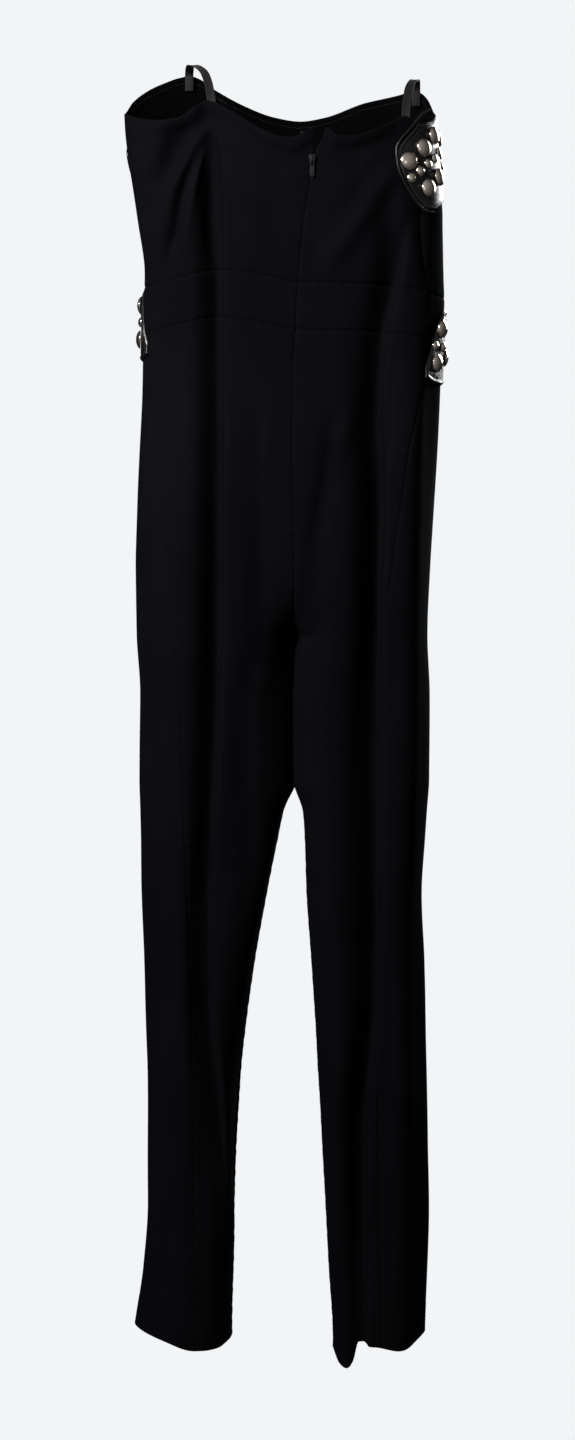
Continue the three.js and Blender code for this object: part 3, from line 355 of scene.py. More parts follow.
@dataclass(frozen=True)
class Form:
    """The garment's outer surface.

    A lap goes once round the garment: -2 centre back, -1 left side, 0 centre front, 1 right
    side, 2 centre back. A turn goes round one half: 0 centre back, 1 side, 2 centre front.
    """

    crotch: float = -595.0
    crotch_rise: float = 62.0
    seam_gap: float = -0.1
    leg_gap: float = 1.4
    inner_round: float = 0.3
    inner_lean: float = 0.4
    lean_ends: float = 20.0
    squareness: float = 3.2
    inseam_turn: float = 0.0004
    side_fade: float = 0.22
    undulation: float = 0.35

    def half_ring(self, side: Array, z: Array) -> dict[str, Array]:
        """The section of one half at heights.

        Args:
            side: -1 or 1, the wearer's left or right half.
            z: heights.

        Returns:
            inner, width, join, lean, back and front by name.
        """
        rise = np.clip((z - self.crotch) / self.crotch_rise, 0, 1)
        below = np.clip((self.crotch - z) / self.crotch_rise, 0, 1)
        split = SECTIONS.value("split", z)
        gap = self.seam_gap + (self.leg_gap - self.seam_gap) * below
        inner = SECTIONS.value("centre", z) + side * (gap / 2 + split)
        outer = np.where(side < 0, SECTIONS.value("left", z), SECTIONS.value("right", z))
        return {
            "inner": inner,
            "width": np.abs(outer - inner),
            "join": np.sqrt(1 - (1 - rise) ** 2),
            "lean": self.inner_lean * below * np.clip(1 - split / self.lean_ends, 0, 1),
            "back": SECTIONS.value("back", z),
            "front": SECTIONS.value("front", z),
        }

    def share(self, turn: Array, join: Array) -> Array:
        """How far across the half a turn lies, from 0 at its inner edge to 1 at its side."""
        t = np.where(turn <= 1, turn, 2 - turn)
        leg = (1 - np.cos(t * math.pi)) / 2
        return leg + (np.sin(t * math.pi / 2) - leg) * join

    def point(self, lap: Array, z: Array) -> Array:
        """Points of the surface.

        Args:
            lap: places round the garment.
            z: heights, of the same shape.

        Returns:
            The points, with x, y and z last.
        """
        side = np.where(lap < 0, -1.0, 1.0)
        turn = np.clip(2 - np.abs(lap), 0, 2)
        ring = self.half_ring(side, z)
        share = self.share(turn, ring["join"])
        x = ring["inner"] + side * ring["width"] * share
        is_back = turn <= 1
        folds = {face: 0.0 for face in (Face.BACK, Face.FRONT)}
        for fold in FOLDS:
            folds[fold.face] = folds[fold.face] + fold.height(x, z)
        depth = np.where(is_back, ring["back"] + folds[Face.BACK], ring["front"] + folds[Face.FRONT])
        depth = depth * np.sqrt(np.maximum(0, 1 - share**self.squareness))
        closing = np.maximum(0, 1 - share / self.inner_round)
        depth = depth * np.sqrt(1 - (1 - ring["join"] ** 2) * closing**2)
        y = np.where(is_back, -depth, depth)
        return np.stack([x + ring["lean"] * y * (1 - share) ** 3, y, z + 0 * x], axis=-1)

    def normal(self, lap: Array, z: Array) -> Array:
        """Unit directions out of the surface at laps and heights."""
        side = np.where(lap < 0, -1.0, 1.0)
        turn = 2 - np.abs(lap)
        step = 0.002
        ahead = side * (2 - np.clip(turn + step, 0, 2))
        behind = side * (2 - np.clip(turn - step, 0, 2))
        tiny = side * 1e-9
        along = self.point(ahead + tiny, z) - self.point(behind + tiny, z)
        up = self.point(lap, z + 1) - self.point(lap, z - 1)
        out = np.cross(along, up) * side[..., None]
        return out / np.maximum(np.linalg.norm(out, axis=-1, keepdims=True), 1e-9)

    def relief(self, lap: Array, at: Array) -> Array:
        """Height of the finer creases and the cloth's own unevenness.

        Args:
            lap: places round the garment.
            at: the surface's points there.

        Returns:
            The height over the smooth form.
        """
        x, y, z = at[..., 0], at[..., 1], at[..., 2]
        turn = 2 - np.abs(lap)
        from_side = np.clip(np.abs(turn - 1) / self.side_fade, 0, 1)
        near_side = np.where(np.abs(turn - 1) < 0.7, np.cos(np.clip(np.abs(turn - 1) / 0.7, 0, 1) * math.pi / 2), 0)
        reach = {
            Face.BACK: np.where(turn <= 1, from_side, 0),
            Face.FRONT: np.where(turn > 1, from_side, 0),
            Face.LEFT: np.where(lap < 0, near_side, 0),
            Face.RIGHT: np.where(lap >= 0, near_side, 0),
        }
        total = np.zeros_like(z)
        for crease in CREASES:
            across = x if crease.face in (Face.BACK, Face.FRONT) else y
            total = total + crease.height(across, z) * reach[crease.face]
        wave = np.sin(x / 17.0 + z / 61.0 + 0.6) + 0.8 * np.sin(x / 9.5 - z / 83.0 + 2.1)
        wave = wave + 0.6 * np.sin(y / 13.0 + z / 47.0 + 4.0) + 0.5 * np.sin(x / 31.0 + z / 23.0 + 1.1)
        return total + self.undulation * wave * (0.4 + 0.6 * np.clip(-z / 400 - 0.4, 0, 1))

    def raised(self, lap: Array, z: Array, out: Array | float, creased: float = 1.0) -> Array:
        """Points moved out along the surface's normal, or in where out is negative.

        Args:
            lap: places round the garment.
            z: heights.
            out: distance from the form, a number or an array.
            creased: share of the finer creases that the piece follows.

        Returns:
            The points.
        """
        lap, z = np.broadcast_arrays(np.asarray(lap, float), np.asarray(z, float))
        at = self.point(lap, z)
        height = out + creased * self.relief(lap, at)
        raised = at + self.normal(lap, z) * np.asarray(height)[..., None]
        is_back = 2 - np.abs(lap) <= 1
        for lean in LEANS:
            raised[..., 0] += np.where(is_back, lean.height(at[..., 0], z), 0)
        return raised

    def lap_at_x(self, side: Side, face: Face, x: Array | float, z: Array) -> Array:
        """The lap at which the surface reaches x on the back or front.

        Args:
            side: half of the garment.
            face: back or front.
            x: places across.
            z: heights.

        Returns:
            The laps.
        """
        sign = float(side.value)
        ring = self.half_ring(np.asarray(sign), np.asarray(z, float))
        wanted = np.clip(sign * (x - ring["inner"]) / ring["width"], 0.001, 0.995)
        low, high = np.zeros_like(wanted), np.ones_like(wanted)
        for _ in range(30):
            middle = (low + high) / 2
            less = self.share(middle, ring["join"]) < wanted
            low, high = np.where(less, middle, low), np.where(less, high, middle)
        turn = low if face is Face.BACK else 2 - low
        return sign * (2 - turn)

    def walked(self, side: Side, lap: Array, z: Array, distance: Array | float) -> Array:
        """The lap reached by walking from the centre back towards the centre front.

        Args:
            side: half of the garment.
            lap: where the walk starts.
            z: its height.
            distance: its length over the surface.

        Returns:
            The laps reached.
        """
        sign = float(side.value)
        turn = 2 - np.abs(np.asarray(lap, float))
        turn, z, distance = np.broadcast_arrays(turn, np.asarray(z, float), np.asarray(distance, float))
        span = 0.005
        steps = max(1, int(np.ceil(np.abs(distance).max() / 2)))
        for _ in range(steps):
            ahead = self.point(sign * (2 - turn - span), z)
            behind = self.point(sign * (2 - turn + span), z)
            speed = np.linalg.norm(ahead - behind, axis=-1) / (2 * span)
            turn = turn + distance / steps / speed
        return sign * (2 - turn)

    def edge(self, back: Table, front: Table, lap_at: Callable[[Array], Array], start: float) -> Array:
        """Heights at which lines down the cloth meet an edge that is given on back and front.

        Args:
            back: the edge's height at each x of the back.
            front: the same for the front.
            lap_at: the lines' laps at heights.
            start: a height near the edge.

        Returns:
            One height for each line.
        """
        z = lap_at(np.asarray(start, float)) * 0 + start
        for _ in range(6):
            lap = lap_at(z)
            x = self.point(lap, z)[..., 0]
            on_back = 2 - np.abs(lap) <= 1
            z = np.where(on_back, back.value("z", x), front.value("z", x))
        return z


FORM = Form()


# Lines down the garment, as the lap at each height

SEAM_SHIFT = -0.05


def sampled_heights(low: float, high: float, step: float) -> Array:
    """Rising heights, closer together where the crotch seam rounds up.

    Args:
        low: the lowest height.
        high: the highest height.
        step: distance between heights elsewhere.

    Returns:
        The heights.
    """
    join = np.linspace(0, 1, 30)
    rounded = FORM.crotch + FORM.crotch_rise * (1 - np.sqrt(1 - join**2))
    return np.unique(np.concatenate([np.arange(low, high, step), rounded]))


def between(heights: Array, z: Array) -> tuple[Array, Array]:
    """The sampled height below each z, as an index, and the share of the way to the next."""
    index = np.clip(np.searchsorted(heights, z, side="right") - 1, 0, len(heights) - 2)
    return index, np.clip((z - heights[index]) / (heights[index + 1] - heights[index]), 0, 1)


def centre_back(side: Side) -> Callable[[Array], Array]:
    """The centre-back line of one half, which runs into its inseam."""
    def lap(z: Array) -> Array:
        """The line's lap at heights."""
        join = FORM.half_ring(np.asarray(float(side.value)), z)["join"]
        return side.value * (2 - FORM.inseam_turn * (1 - join))
    return lap


def centre_front(side: Side) -> Callable[[Array], Array]:
    """The centre-front line of one half, which runs into its inseam."""
    def lap(z: Array) -> Array:
        """The line's lap at heights."""
        join = FORM.half_ring(np.asarray(float(side.value)), z)["join"]
        return side.value * (FORM.inseam_turn * (1 - join) + 1e-7)
    return lap


def side_seam(side: Side, shift: float) -> Callable[[Array], Array]:
    """The side seam of one half, moved along the cloth by a shift."""
    table = SIDE_SEAM_LEFT if side is Side.LEFT else SIDE_SEAM_RIGHT
    heights = sampled_heights(-1420.0, 20.0, 4.0)
    start = FORM.lap_at_x(side, Face.BACK, table.value("x", heights), heights)
    laps = FORM.walked(side, start, heights, shift)

    def lap(z: Array) -> Array:
        """The line's lap at heights."""
        return np.interp(z, heights, laps)
    return lap


def zip_edge(z: Array) -> Array:
    """The right back edge, which leaves the centre above the slider."""
    z = np.asarray(z, float)
    opened = FORM.lap_at_x(Side.RIGHT, Face.BACK, ZIP_RIGHT_EDGE.value("x", z), z)
    return np.where(z > ZIP_RIGHT_EDGE.rows[-1][0], opened, centre_back(Side.RIGHT)(z))


# Meshes

def new_object(name: str, mesh: bpy.types.Mesh) -> bpy.types.Object:
    """A linked object for a mesh, at the origin."""
    made = bpy.data.objects.new(name, mesh)
    bpy.context.scene.collection.objects.link(made)
    return made


def mesh_from(name: str, points: Array, faces: Sequence[Sequence[int]], uv: Array | None = None,
              smooth: bool = True) -> bpy.types.Mesh:
    """A mesh in metres from points in millimetres.

    Args:
        name: its name.
        points: one row for each vertex.
        faces: vertex numbers of each face.
        uv: a flat place for each vertex, in metres, or nothing.
        smooth: whether its faces are shaded smooth.

    Returns:
        The mesh.
    """
    mesh = bpy.data.meshes.new(name)
    mesh.from_pydata((np.asarray(points, float) * MM).tolist(), [], faces)
    if uv is not None:
        corner = np.empty(len(mesh.loops), np.int32)
        mesh.loops.foreach_get("vertex_index", corner)
        layer = mesh.uv_layers.new(name="cut")
        layer.data.foreach_set("uv", np.asarray(uv, np.float32)[corner].ravel())
    mesh.polygons.foreach_set("use_smooth", np.full(len(mesh.polygons), smooth))
    mesh.update()
    return mesh


def mark_inner(mesh: bpy.types.Mesh) -> None:
    """Marks the inner half of a shell's vertices, where its material paints shade."""
    layer = mesh.attributes.new("inner_face", "FLOAT", "POINT")
    half = len(mesh.vertices) // 2
    layer.data.foreach_set("value", np.repeat(np.array([0.0, 1.0], np.float32), half))


def shell_faces(rows: int, columns: int) -> list[list[int]]:
    """Faces of a closed shell between an outer and an inner grid, outer vertices first.

    Args:
        rows: rows of each grid.
        columns: columns of each grid.

    Returns:
        The faces, which point out where columns run clockwise seen from above and rows down.
    """
    n = np.arange(rows * columns).reshape(rows, columns)
    a, b, c, d = n[:-1, :-1], n[1:, :-1], n[1:, 1:], n[:-1, 1:]
    outer = np.stack([a, d, c, b], axis=-1).reshape(-1, 4)
    inner = np.stack([a, b, c, d], axis=-1).reshape(-1, 4) + rows * columns
    loop = np.concatenate([n[0, :-1], n[:-1, -1], n[-1, :0:-1], n[:0:-1, 0]])
    after = np.roll(loop, -1)
    rim = np.stack([loop, loop + rows * columns, after + rows * columns, after], axis=-1)
    return np.concatenate([outer, inner, rim]).tolist()


def shell(name: str, outer: Array, inner: Array, uv: Array | None = None) -> bpy.types.Mesh:
    """A closed shell between two grids of points.

    Args:
        name: the mesh's name.
        outer: points with rows, columns and x, y, z.
        inner: the same for its inner face.
        uv: flat places with rows, columns and u, v.

    Returns:
        The mesh, its faces pointing out.
    """
    rows, columns = outer.shape[:2]
    points = np.concatenate([outer.reshape(-1, 3), inner.reshape(-1, 3)])
    faces = np.array(shell_faces(rows, columns))
    corner = points[faces]
    volume = np.einsum("ij,ij->i", corner[:, 0], np.cross(corner[:, 1], corner[:, 2])).sum()
    volume += np.einsum("ij,ij->i", corner[:, 0], np.cross(corner[:, 2], corner[:, 3])).sum()
    if volume < 0:
        faces = faces[:, ::-1]
    flat = None if uv is None else np.tile(uv.reshape(-1, 2), (2, 1))
    return mesh_from(name, points, faces.tolist(), flat)


def enlist(piece: bpy.types.Object, finish: bpy.types.Material | None,
           nodes: Sequence[str] = (), body: str = "garment") -> bpy.types.Object:
    """Dresses a piece, makes it ride on its body and hides the nodes it stands for.

    Args:
        piece: the finished piece.
        finish: its material, or nothing where it has one.
        nodes: the nodes it replaces.
        body: the body it moves with.

    Returns:
        The piece.
    """
    if finish is not None:
        piece.data.materials.clear()
        piece.data.materials.append(finish)
    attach(piece, body)
    if nodes:
        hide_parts(*nodes)
    log.info("%s: %d faces", piece.name, len(piece.data.polygons))
    return piece


def catmull_rom(stations: Array, samples: int) -> tuple[Array, Array]:
    """A smooth open curve through stations, by centripetal pieces.

    Args:
        stations: the points passed.
        samples: number of points wanted.

    Returns:
        The points and the unit directions along the curve at them.
    """
    ends = [2 * stations[0] - stations[1], *stations, 2 * stations[-1] - stations[-2]]
    p = np.array(ends)
    at = np.linspace(0, len(stations) - 1, samples)
    i = np.minimum(at.astype(int), len(stations) - 2)
    t = (at - i)[:, None]
    p0, p1, p2, p3 = p[i], p[i + 1], p[i + 2], p[i + 3]
    run = [np.sqrt(np.linalg.norm(b - a, axis=1, keepdims=True)) + 1e-9 for a, b in ((p0, p1), (p1, p2), (p2, p3))]
    start = ((p1 - p0) / run[0] - (p2 - p0) / (run[0] + run[1]) + (p2 - p1) / run[1]) * run[1]
    end = ((p2 - p1) / run[1] - (p3 - p1) / (run[1] + run[2]) + (p3 - p2) / run[2]) * run[1]
    c2 = 3 * (p2 - p1) - 2 * start - end
    c3 = 2 * (p1 - p2) + start + end
    points = p1 + start * t + c2 * t**2 + c3 * t**3
    along = start + 2 * c2 * t + 3 * c3 * t**2
    return points, along / np.maximum(np.linalg.norm(along, axis=1, keepdims=True), 1e-9)


# Shader maths and nodes

class Value:
    """A number's socket in a material. Sums and products on it add Math nodes."""

    def __init__(self, shader: Shader, socket: bpy.types.NodeSocket) -> None:
        """Wraps a socket of a shader."""
        self.shader = shader
        self.socket = socket

    def maths(self, operation: str, *terms: Value | float) -> Value:
        """The result of a Math node on terms."""
        made = self.shader.node("ShaderNodeMath", {"operation": operation}, dict(enumerate(terms)))
        return Value(self.shader, made.outputs[0])

    def __add__(self, other: Value | float) -> Value:
        """Sum."""
        return self.maths("ADD", self, other)

    def __sub__(self, other: Value | float) -> Value:
        """Difference."""
        return self.maths("SUBTRACT", self, other)

    def __rsub__(self, other: float) -> Value:
        """Difference from a number."""
        return self.maths("SUBTRACT", other, self)

    def __mul__(self, other: Value | float) -> Value:
        """Product."""
        return self.maths("MULTIPLY", self, other)

    def __pow__(self, other: float) -> Value:
        """Power."""
        return self.maths("POWER", self, other)

    __radd__ = __add__
    __rmul__ = __mul__

    def sine(self) -> Value:
        """Its sine, in radians."""
        return self.maths("SINE", self)

    def greatest(self, other: Value | float) -> Value:
        """The larger of two."""
        return self.maths("MAXIMUM", self, other)


class Shader:
    """A material being built round one Principled shader."""

    def __init__(self, name: str) -> None:
        """Starts an empty node tree with its output and shader."""
        self.material = bpy.data.materials.new(name)
        self.material.use_nodes = True
        self.tree = self.material.node_tree
        self.tree.nodes.clear()
        self.surface = self.node("ShaderNodeBsdfPrincipled")
        self.output = self.node("ShaderNodeOutputMaterial", None, {"Surface": self.surface.outputs[0]})

    def node(self, kind: str, settings: dict[str, Any] | None = None,
             inputs: dict[str | int, Any] | None = None) -> bpy.types.Node:
        """Adds one node.

        Args:
            kind: the node's type.
            settings: its properties, or a ramp's stops under "stops".
            inputs: values or links of its sockets, by name or number.

        Returns:
            The node.
        """
        made = self.tree.nodes.new(kind)
        for key, setting in (settings or {}).items():
            if key == "stops":
                ramp = made.color_ramp.elements
                for place, (position, colour) in enumerate(setting):
                    stop = ramp[place] if place < 2 else ramp.new(position)
                    stop.position, stop.color = position, (*colour, 1.0)
            else:
                setattr(made, key, setting)
        for key, value in (inputs or {}).items():
            self.put(made.inputs[key], value)
        return made

    def put(self, socket: bpy.types.NodeSocket, value: Any) -> None:
        """Links or sets one socket."""
        if isinstance(value, Value):
            value = value.socket
        if isinstance(value, bpy.types.NodeSocket):
            self.tree.links.new(value, socket)
        else:
            socket.default_value = value

    def coordinates(self, stretch: tuple[float, float, float] = (1, 1, 1), flat: bool = False) -> bpy.types.NodeSocket:
        """Object coordinates, or the cut's flat ones, stretched along each axis."""
        source = self.node("ShaderNodeTexCoord").outputs["UV" if flat else "Object"]
        mapping = self.node("ShaderNodeMapping", None, {"Vector": source, "Scale": stretch})
        return mapping.outputs[0]

    def noise(self, scale: float, detail: float = 2.0, vector: bpy.types.NodeSocket | None = None,
              roughness: float = 0.5) -> Value:
        """A noise between 0 and 1 with so many grains a metre."""
        inputs = {"Vector": vector or self.coordinates(), "Scale": scale, "Detail": detail, "Roughness": roughness}
        return Value(self, self.node("ShaderNodeTexNoise", None, inputs).outputs["Fac"])

    def ramp(self, value: Value, *stops: tuple[float, Sequence[float]]) -> bpy.types.NodeSocket:
        """A colour ramp over a value."""
        return self.node("ShaderNodeValToRGB", {"stops": stops}, {"Fac": value}).outputs["Color"]

    def spread(self, value: Value, low: float, high: float, to_low: float = 0.0, to_high: float = 1.0) -> Value:
        """A value mapped from one span to another, kept within it."""
        inputs = {0: value, 1: low, 2: high, 3: to_low, 4: to_high}
        return Value(self, self.node("ShaderNodeMapRange", {"clamp": True}, inputs).outputs[0])

    def blend(self, factor: Value | float, first: Any, second: Any) -> bpy.types.NodeSocket:
        """Two colours mixed."""
        made = self.node("ShaderNodeMix", {"data_type": "RGBA"}, {0: factor, 6: first, 7: second})
        return made.outputs[2]

    def bump(self, height: Value, distance: float, strength: float = 1.0) -> bpy.types.NodeSocket:
        """A normal from a height in units of a distance."""
        inputs = {"Height": height, "Distance": distance, "Strength": strength}
        return self.node("ShaderNodeBump", None, inputs).outputs[0]

    def set(self, **values: Any) -> None:
        """Sets or links sockets of the surface, named with underscores for spaces."""
        for name, value in values.items():
            self.put(self.surface.inputs[name.replace("_", " ")], value)


def rgba(colour: Sequence[float]) -> tuple[float, float, float, float]:
    """A colour with full alpha."""
    return (colour[0], colour[1], colour[2], 1.0)


@dataclass(frozen=True)
class Crepe:
    """Matte stretch crepe: a pebbled grain over fine threads, with a faint cool sheen. Its inner faces are painted
    darker as shade inside the garment.
    """

    dark: tuple[float, float, float] = (0.0025, 0.0024, 0.0031)
    light: tuple[float, float, float] = (0.0037, 0.0036, 0.0046)
    # Colour of the inner faces: painted shade inside the garment
    lining: tuple[float, float, float] = (0.0013, 0.0013, 0.0016)
    pebbles_per_m: float = 1500.0
    threads_per_m: float = 620.0
    roughness: float = 0.86

    def build(self) -> bpy.types.Material:
        """Builds the material.

        Returns:
            The crepe's material.
        """
        shader = Shader("black_crepe")
        cloth = shader.coordinates(flat=True)
        pebbles = shader.noise(self.pebbles_per_m, 3.0, cloth, 0.6)
        strands = shader.noise(self.threads_per_m, 1.0, shader.coordinates((1, 0.18, 1), flat=True))
        patches = shader.noise(9.0, 3.0)
        streaks = shader.noise(60.0, 2.0, shader.coordinates((1, 1, 0.12)))
        tone = shader.spread(patches * 0.45 + streaks * 0.25 + pebbles * 0.3, 0.35, 0.65)
        grain = pebbles * 0.7 + strands * 0.5
        # The inner faces take the darker colour: painted shade inside the garment
        inner = Value(shader, shader.node("ShaderNodeAttribute", {"attribute_name": "inner_face"}).outputs["Fac"])
        shader.set(
            Base_Color=shader.blend(inner, shader.blend(tone, rgba(self.dark), rgba(self.light)), rgba(self.lining)),
            Roughness=shader.spread(pebbles, 0.3, 0.7, self.roughness - 0.06, self.roughness + 0.06),
            Specular_IOR_Level=0.004,
            Sheen_Weight=0.003, Sheen_Roughness=0.45, Sheen_Tint=rgba((0.62, 0.62, 0.78)),
            Normal=shader.bump(grain, 0.00028, 0.8),
        )
        return shader.material


@dataclass(frozen=True)
class Leather:
    """Glossy black leather with fine pores and soft creases."""

    colour: tuple[float, float, float] = (0.003, 0.003, 0.0034)
    pores_per_m: float = 900.0
    gloss: float = 0.17

    def build(self) -> bpy.types.Material:
        """Builds the material.

        Returns:
            The leather's material.
        """
        shader = Shader("glossy_black_leather")
        cells = shader.node("ShaderNodeTexVoronoi", {"feature": "DISTANCE_TO_EDGE"}, {
            "Vector": shader.coordinates(), "Scale": self.pores_per_m})
        pores = shader.spread(Value(shader, cells.outputs["Distance"]), 0.0, 0.25)
        creases = shader.noise(70.0, 4.0, None, 0.6)
        wear = shader.noise(22.0, 3.0)
        shader.set(
            Base_Color=shader.blend(wear, rgba(self.colour), rgba([2.2 * c for c in self.colour])),
            Roughness=shader.spread(creases * 0.6 + wear * 0.4, 0.3, 0.7, self.gloss, self.gloss + 0.13),
            Specular_IOR_Level=0.3, Coat_Weight=0.1, Coat_Roughness=0.1,
            Normal=shader.bump(pores * 0.25 + creases * 1.4, 0.0004, 0.6),
        )
        return shader.material


@dataclass(frozen=True)
class Polished:
    """Polished metal with faint handling marks."""

    name: str
    colour: tuple[float, float, float]
    roughness: float
    metallic: float = 1.0

    def build(self) -> bpy.types.Material:
        """Builds the material.

        Returns:
            The metal's material.
        """
        shader = Shader(self.name)
        smears = shader.noise(130.0, 3.0)
        marks = shader.noise(900.0, 2.0, shader.coordinates((1, 0.1, 1)))
        tarnish = rgba([0.82 * c for c in self.colour])
        shader.set(
            Base_Color=shader.blend(shader.spread(smears, 0.45, 0.75), rgba(self.colour), tarnish),
            Metallic=self.metallic,
            Roughness=shader.spread(smears * 0.7 + marks * 0.3, 0.3, 0.7, self.roughness, self.roughness + 0.1),
            Normal=shader.bump(marks, 0.00003, 0.5),
        )
        return shader.material


@dataclass(frozen=True)
class Woven:
    """A plain woven narrow fabric, from matt tape to satin ribbon."""

    name: str
    colour: tuple[float, float, float]
    # Colour where the weave is low: painted shade between the threads, mixed with random fuzz in tone
    shade: tuple[float, float, float]
    roughness: float
    shine: float
    threads_per_m: float
    depth: float

    def build(self) -> bpy.types.Material:
        """Builds the material.

        Returns:
            The woven material.
        """
        shader = Shader(self.name)
        flat = shader.node("ShaderNodeSeparateXYZ", None, {0: shader.coordinates(flat=True)})
        turns = 2 * math.pi * self.threads_per_m
        across = (Value(shader, flat.outputs[0]) * turns).sine()
        along = (Value(shader, flat.outputs[1]) * turns).sine()
        weave = across.greatest(along * 0.8)
        fuzz = shader.noise(700.0, 2.0)
        shader.set(
            Base_Color=shader.blend(shader.spread(weave * 0.5 + fuzz, 0.0, 1.3), rgba(self.shade), rgba(self.colour)),
            Roughness=shader.spread(fuzz, 0.3, 0.7, self.roughness, self.roughness + 0.12),
            Specular_IOR_Level=self.shine, Sheen_Weight=0.1, Sheen_Roughness=0.4,
            Normal=shader.bump(weave, self.depth, 0.6),
        )
        return shader.material


# Geometry node trees for what repeats

class Repeat:
    """Builds the node trees that set copies of a small mesh on points or along a line."""

    def __init__(self, name: str) -> None:
        """Starts a tree with its geometry sockets."""
        self.tree = bpy.data.node_groups.new(name, "GeometryNodeTree")
        self.identifiers: dict[str, str] = {}
        self.socket("Geometry", "NodeSocketGeometry")
        self.tree.interface.new_socket("Geometry", in_out="OUTPUT", socket_type="NodeSocketGeometry")
        self.start = self.tree.nodes.new("NodeGroupInput")
        self.end = self.tree.nodes.new("NodeGroupOutput")

    def socket(self, name: str, kind: str) -> None:
        """Adds a named input."""
        made = self.tree.interface.new_socket(name, in_out="INPUT", socket_type=kind)
        self.identifiers[name] = made.identifier

    def node(self, kind: str, settings: dict[str, Any] | None = None,
             inputs: dict[str | int, Any] | None = None) -> bpy.types.Node:
        """Adds one node with its settings and its sockets' values or links."""
        made = self.tree.nodes.new(kind)
        for key, setting in (settings or {}).items():
            setattr(made, key, setting)
        for key, value in (inputs or {}).items():
            if isinstance(value, bpy.types.NodeSocket):
                self.tree.links.new(value, made.inputs[key])
            else:
                made.inputs[key].default_value = value
        return made

    def named(self, name: str, kind: str) -> bpy.types.NodeSocket:
        """A named attribute's socket."""
        return self.node("GeometryNodeInputNamedAttribute", {"data_type": kind}, {"Name": name}).outputs[0]

    def close(self, geometry: bpy.types.NodeSocket) -> None:
        """Ends the tree in Realize Instances and Set Material."""
        real = self.node("GeometryNodeRealizeInstances", None, {0: geometry}).outputs[0]
        inputs = {"Geometry": real, "Material": self.start.outputs["Material"]}
        painted = self.node("GeometryNodeSetMaterial", None, inputs).outputs[0]
        self.tree.links.new(painted, self.end.inputs[0])

    def apply(self, piece: bpy.types.Object, inputs: dict[str, Any]) -> bpy.types.Object:
        """Runs the tree on a piece and turns the result into its own plain mesh.

        Args:
            piece: the object that carries the points or lines.
            inputs: values of the tree's named inputs.

        Returns:
            The same object, with the made mesh.
        """
        modifier = piece.modifiers.new("repeat", "NODES")
        modifier.node_group = self.tree
        for name, value in inputs.items():
            modifier[self.identifiers[name]] = value
        graph = bpy.context.evaluated_depsgraph_get()
        graph.update()
        made = bpy.data.meshes.new_from_object(piece.evaluated_get(graph), preserve_all_data_layers=True, depsgraph=graph)
        piece.modifiers.remove(modifier)
        piece.data = made
        made.polygons.foreach_set("use_smooth", np.ones(len(made.polygons), bool))
        return piece


def studs_tree() -> Repeat:
    """Copies of a dome on points, turned to face out and sized by attributes."""
    tree = Repeat("studs_on_points")
    tree.socket("Dome", "NodeSocketObject")
    tree.socket("Swell", "NodeSocketFloat")
    tree.socket("Material", "NodeSocketMaterial")
    dome = tree.node("GeometryNodeObjectInfo", None, {"Object": tree.start.outputs["Dome"]}).outputs["Geometry"]
    turned = tree.node("FunctionNodeAlignRotationToVector", {"axis": "Z"}, {"Vector": tree.named("facing", "FLOAT_VECTOR")})
    sized = tree.node("ShaderNodeVectorMath", {"operation": "SCALE"}, {
        0: tree.named("size", "FLOAT_VECTOR"), "Scale": tree.start.outputs["Swell"]})
    placed = tree.node("GeometryNodeInstanceOnPoints", None, {
        "Points": tree.start.outputs["Geometry"], "Instance": dome, "Rotation": turned.outputs[0],
        "Scale": sized.outputs[0]})
    tree.close(placed.outputs[0])
    return tree


def row_tree() -> Repeat:
    """Copies of a small mesh along lines, at an even pitch, lying flat on the cloth."""
    tree = Repeat("row_along_line")
    tree.socket("Piece", "NodeSocketObject")
    tree.socket("Pitch", "NodeSocketFloat")
    tree.socket("Material", "NodeSocketMaterial")
    piece = tree.node("GeometryNodeObjectInfo", None, {"Object": tree.start.outputs["Piece"]}).outputs["Geometry"]
    line = tree.node("GeometryNodeMeshToCurve", None, {0: tree.start.outputs["Geometry"]}).outputs[0]
    even = tree.node("GeometryNodeResampleCurve", {"mode": "LENGTH"}, {
        "Curve": line, "Length": tree.start.outputs["Pitch"]}).outputs[0]
    ahead = tree.node("FunctionNodeAlignRotationToVector", {"axis": "X"}, {
        "Vector": tree.node("GeometryNodeInputTangent").outputs[0]})
    lying = tree.node("FunctionNodeAlignRotationToVector", {"axis": "Z", "pivot_axis": "X"}, {
        "Rotation": ahead.outputs[0], "Vector": tree.named("facing", "FLOAT_VECTOR")})
    placed = tree.node("GeometryNodeInstanceOnPoints", None, {
        "Points": even, "Instance": piece, "Rotation": lying.outputs[0]})
    tree.close(placed.outputs[0])
    return tree


def tube_tree() -> Repeat:
    """A round tube along lines."""
    tree = Repeat("tube_along_line")
    tree.socket("Radius", "NodeSocketFloat")
    tree.socket("Material", "NodeSocketMaterial")
    line = tree.node("GeometryNodeMeshToCurve", None, {0: tree.start.outputs["Geometry"]}).outputs[0]
    ring = tree.node("GeometryNodeCurvePrimitiveCircle", {"mode": "RADIUS"}, {
        "Resolution": 14, "Radius": tree.start.outputs["Radius"]}).outputs[0]
    tube = tree.node("GeometryNodeCurveToMesh", None, {"Curve": line, "Profile Curve": ring, "Fill Caps": True})
    tree.close(tube.outputs[0])
    return tree


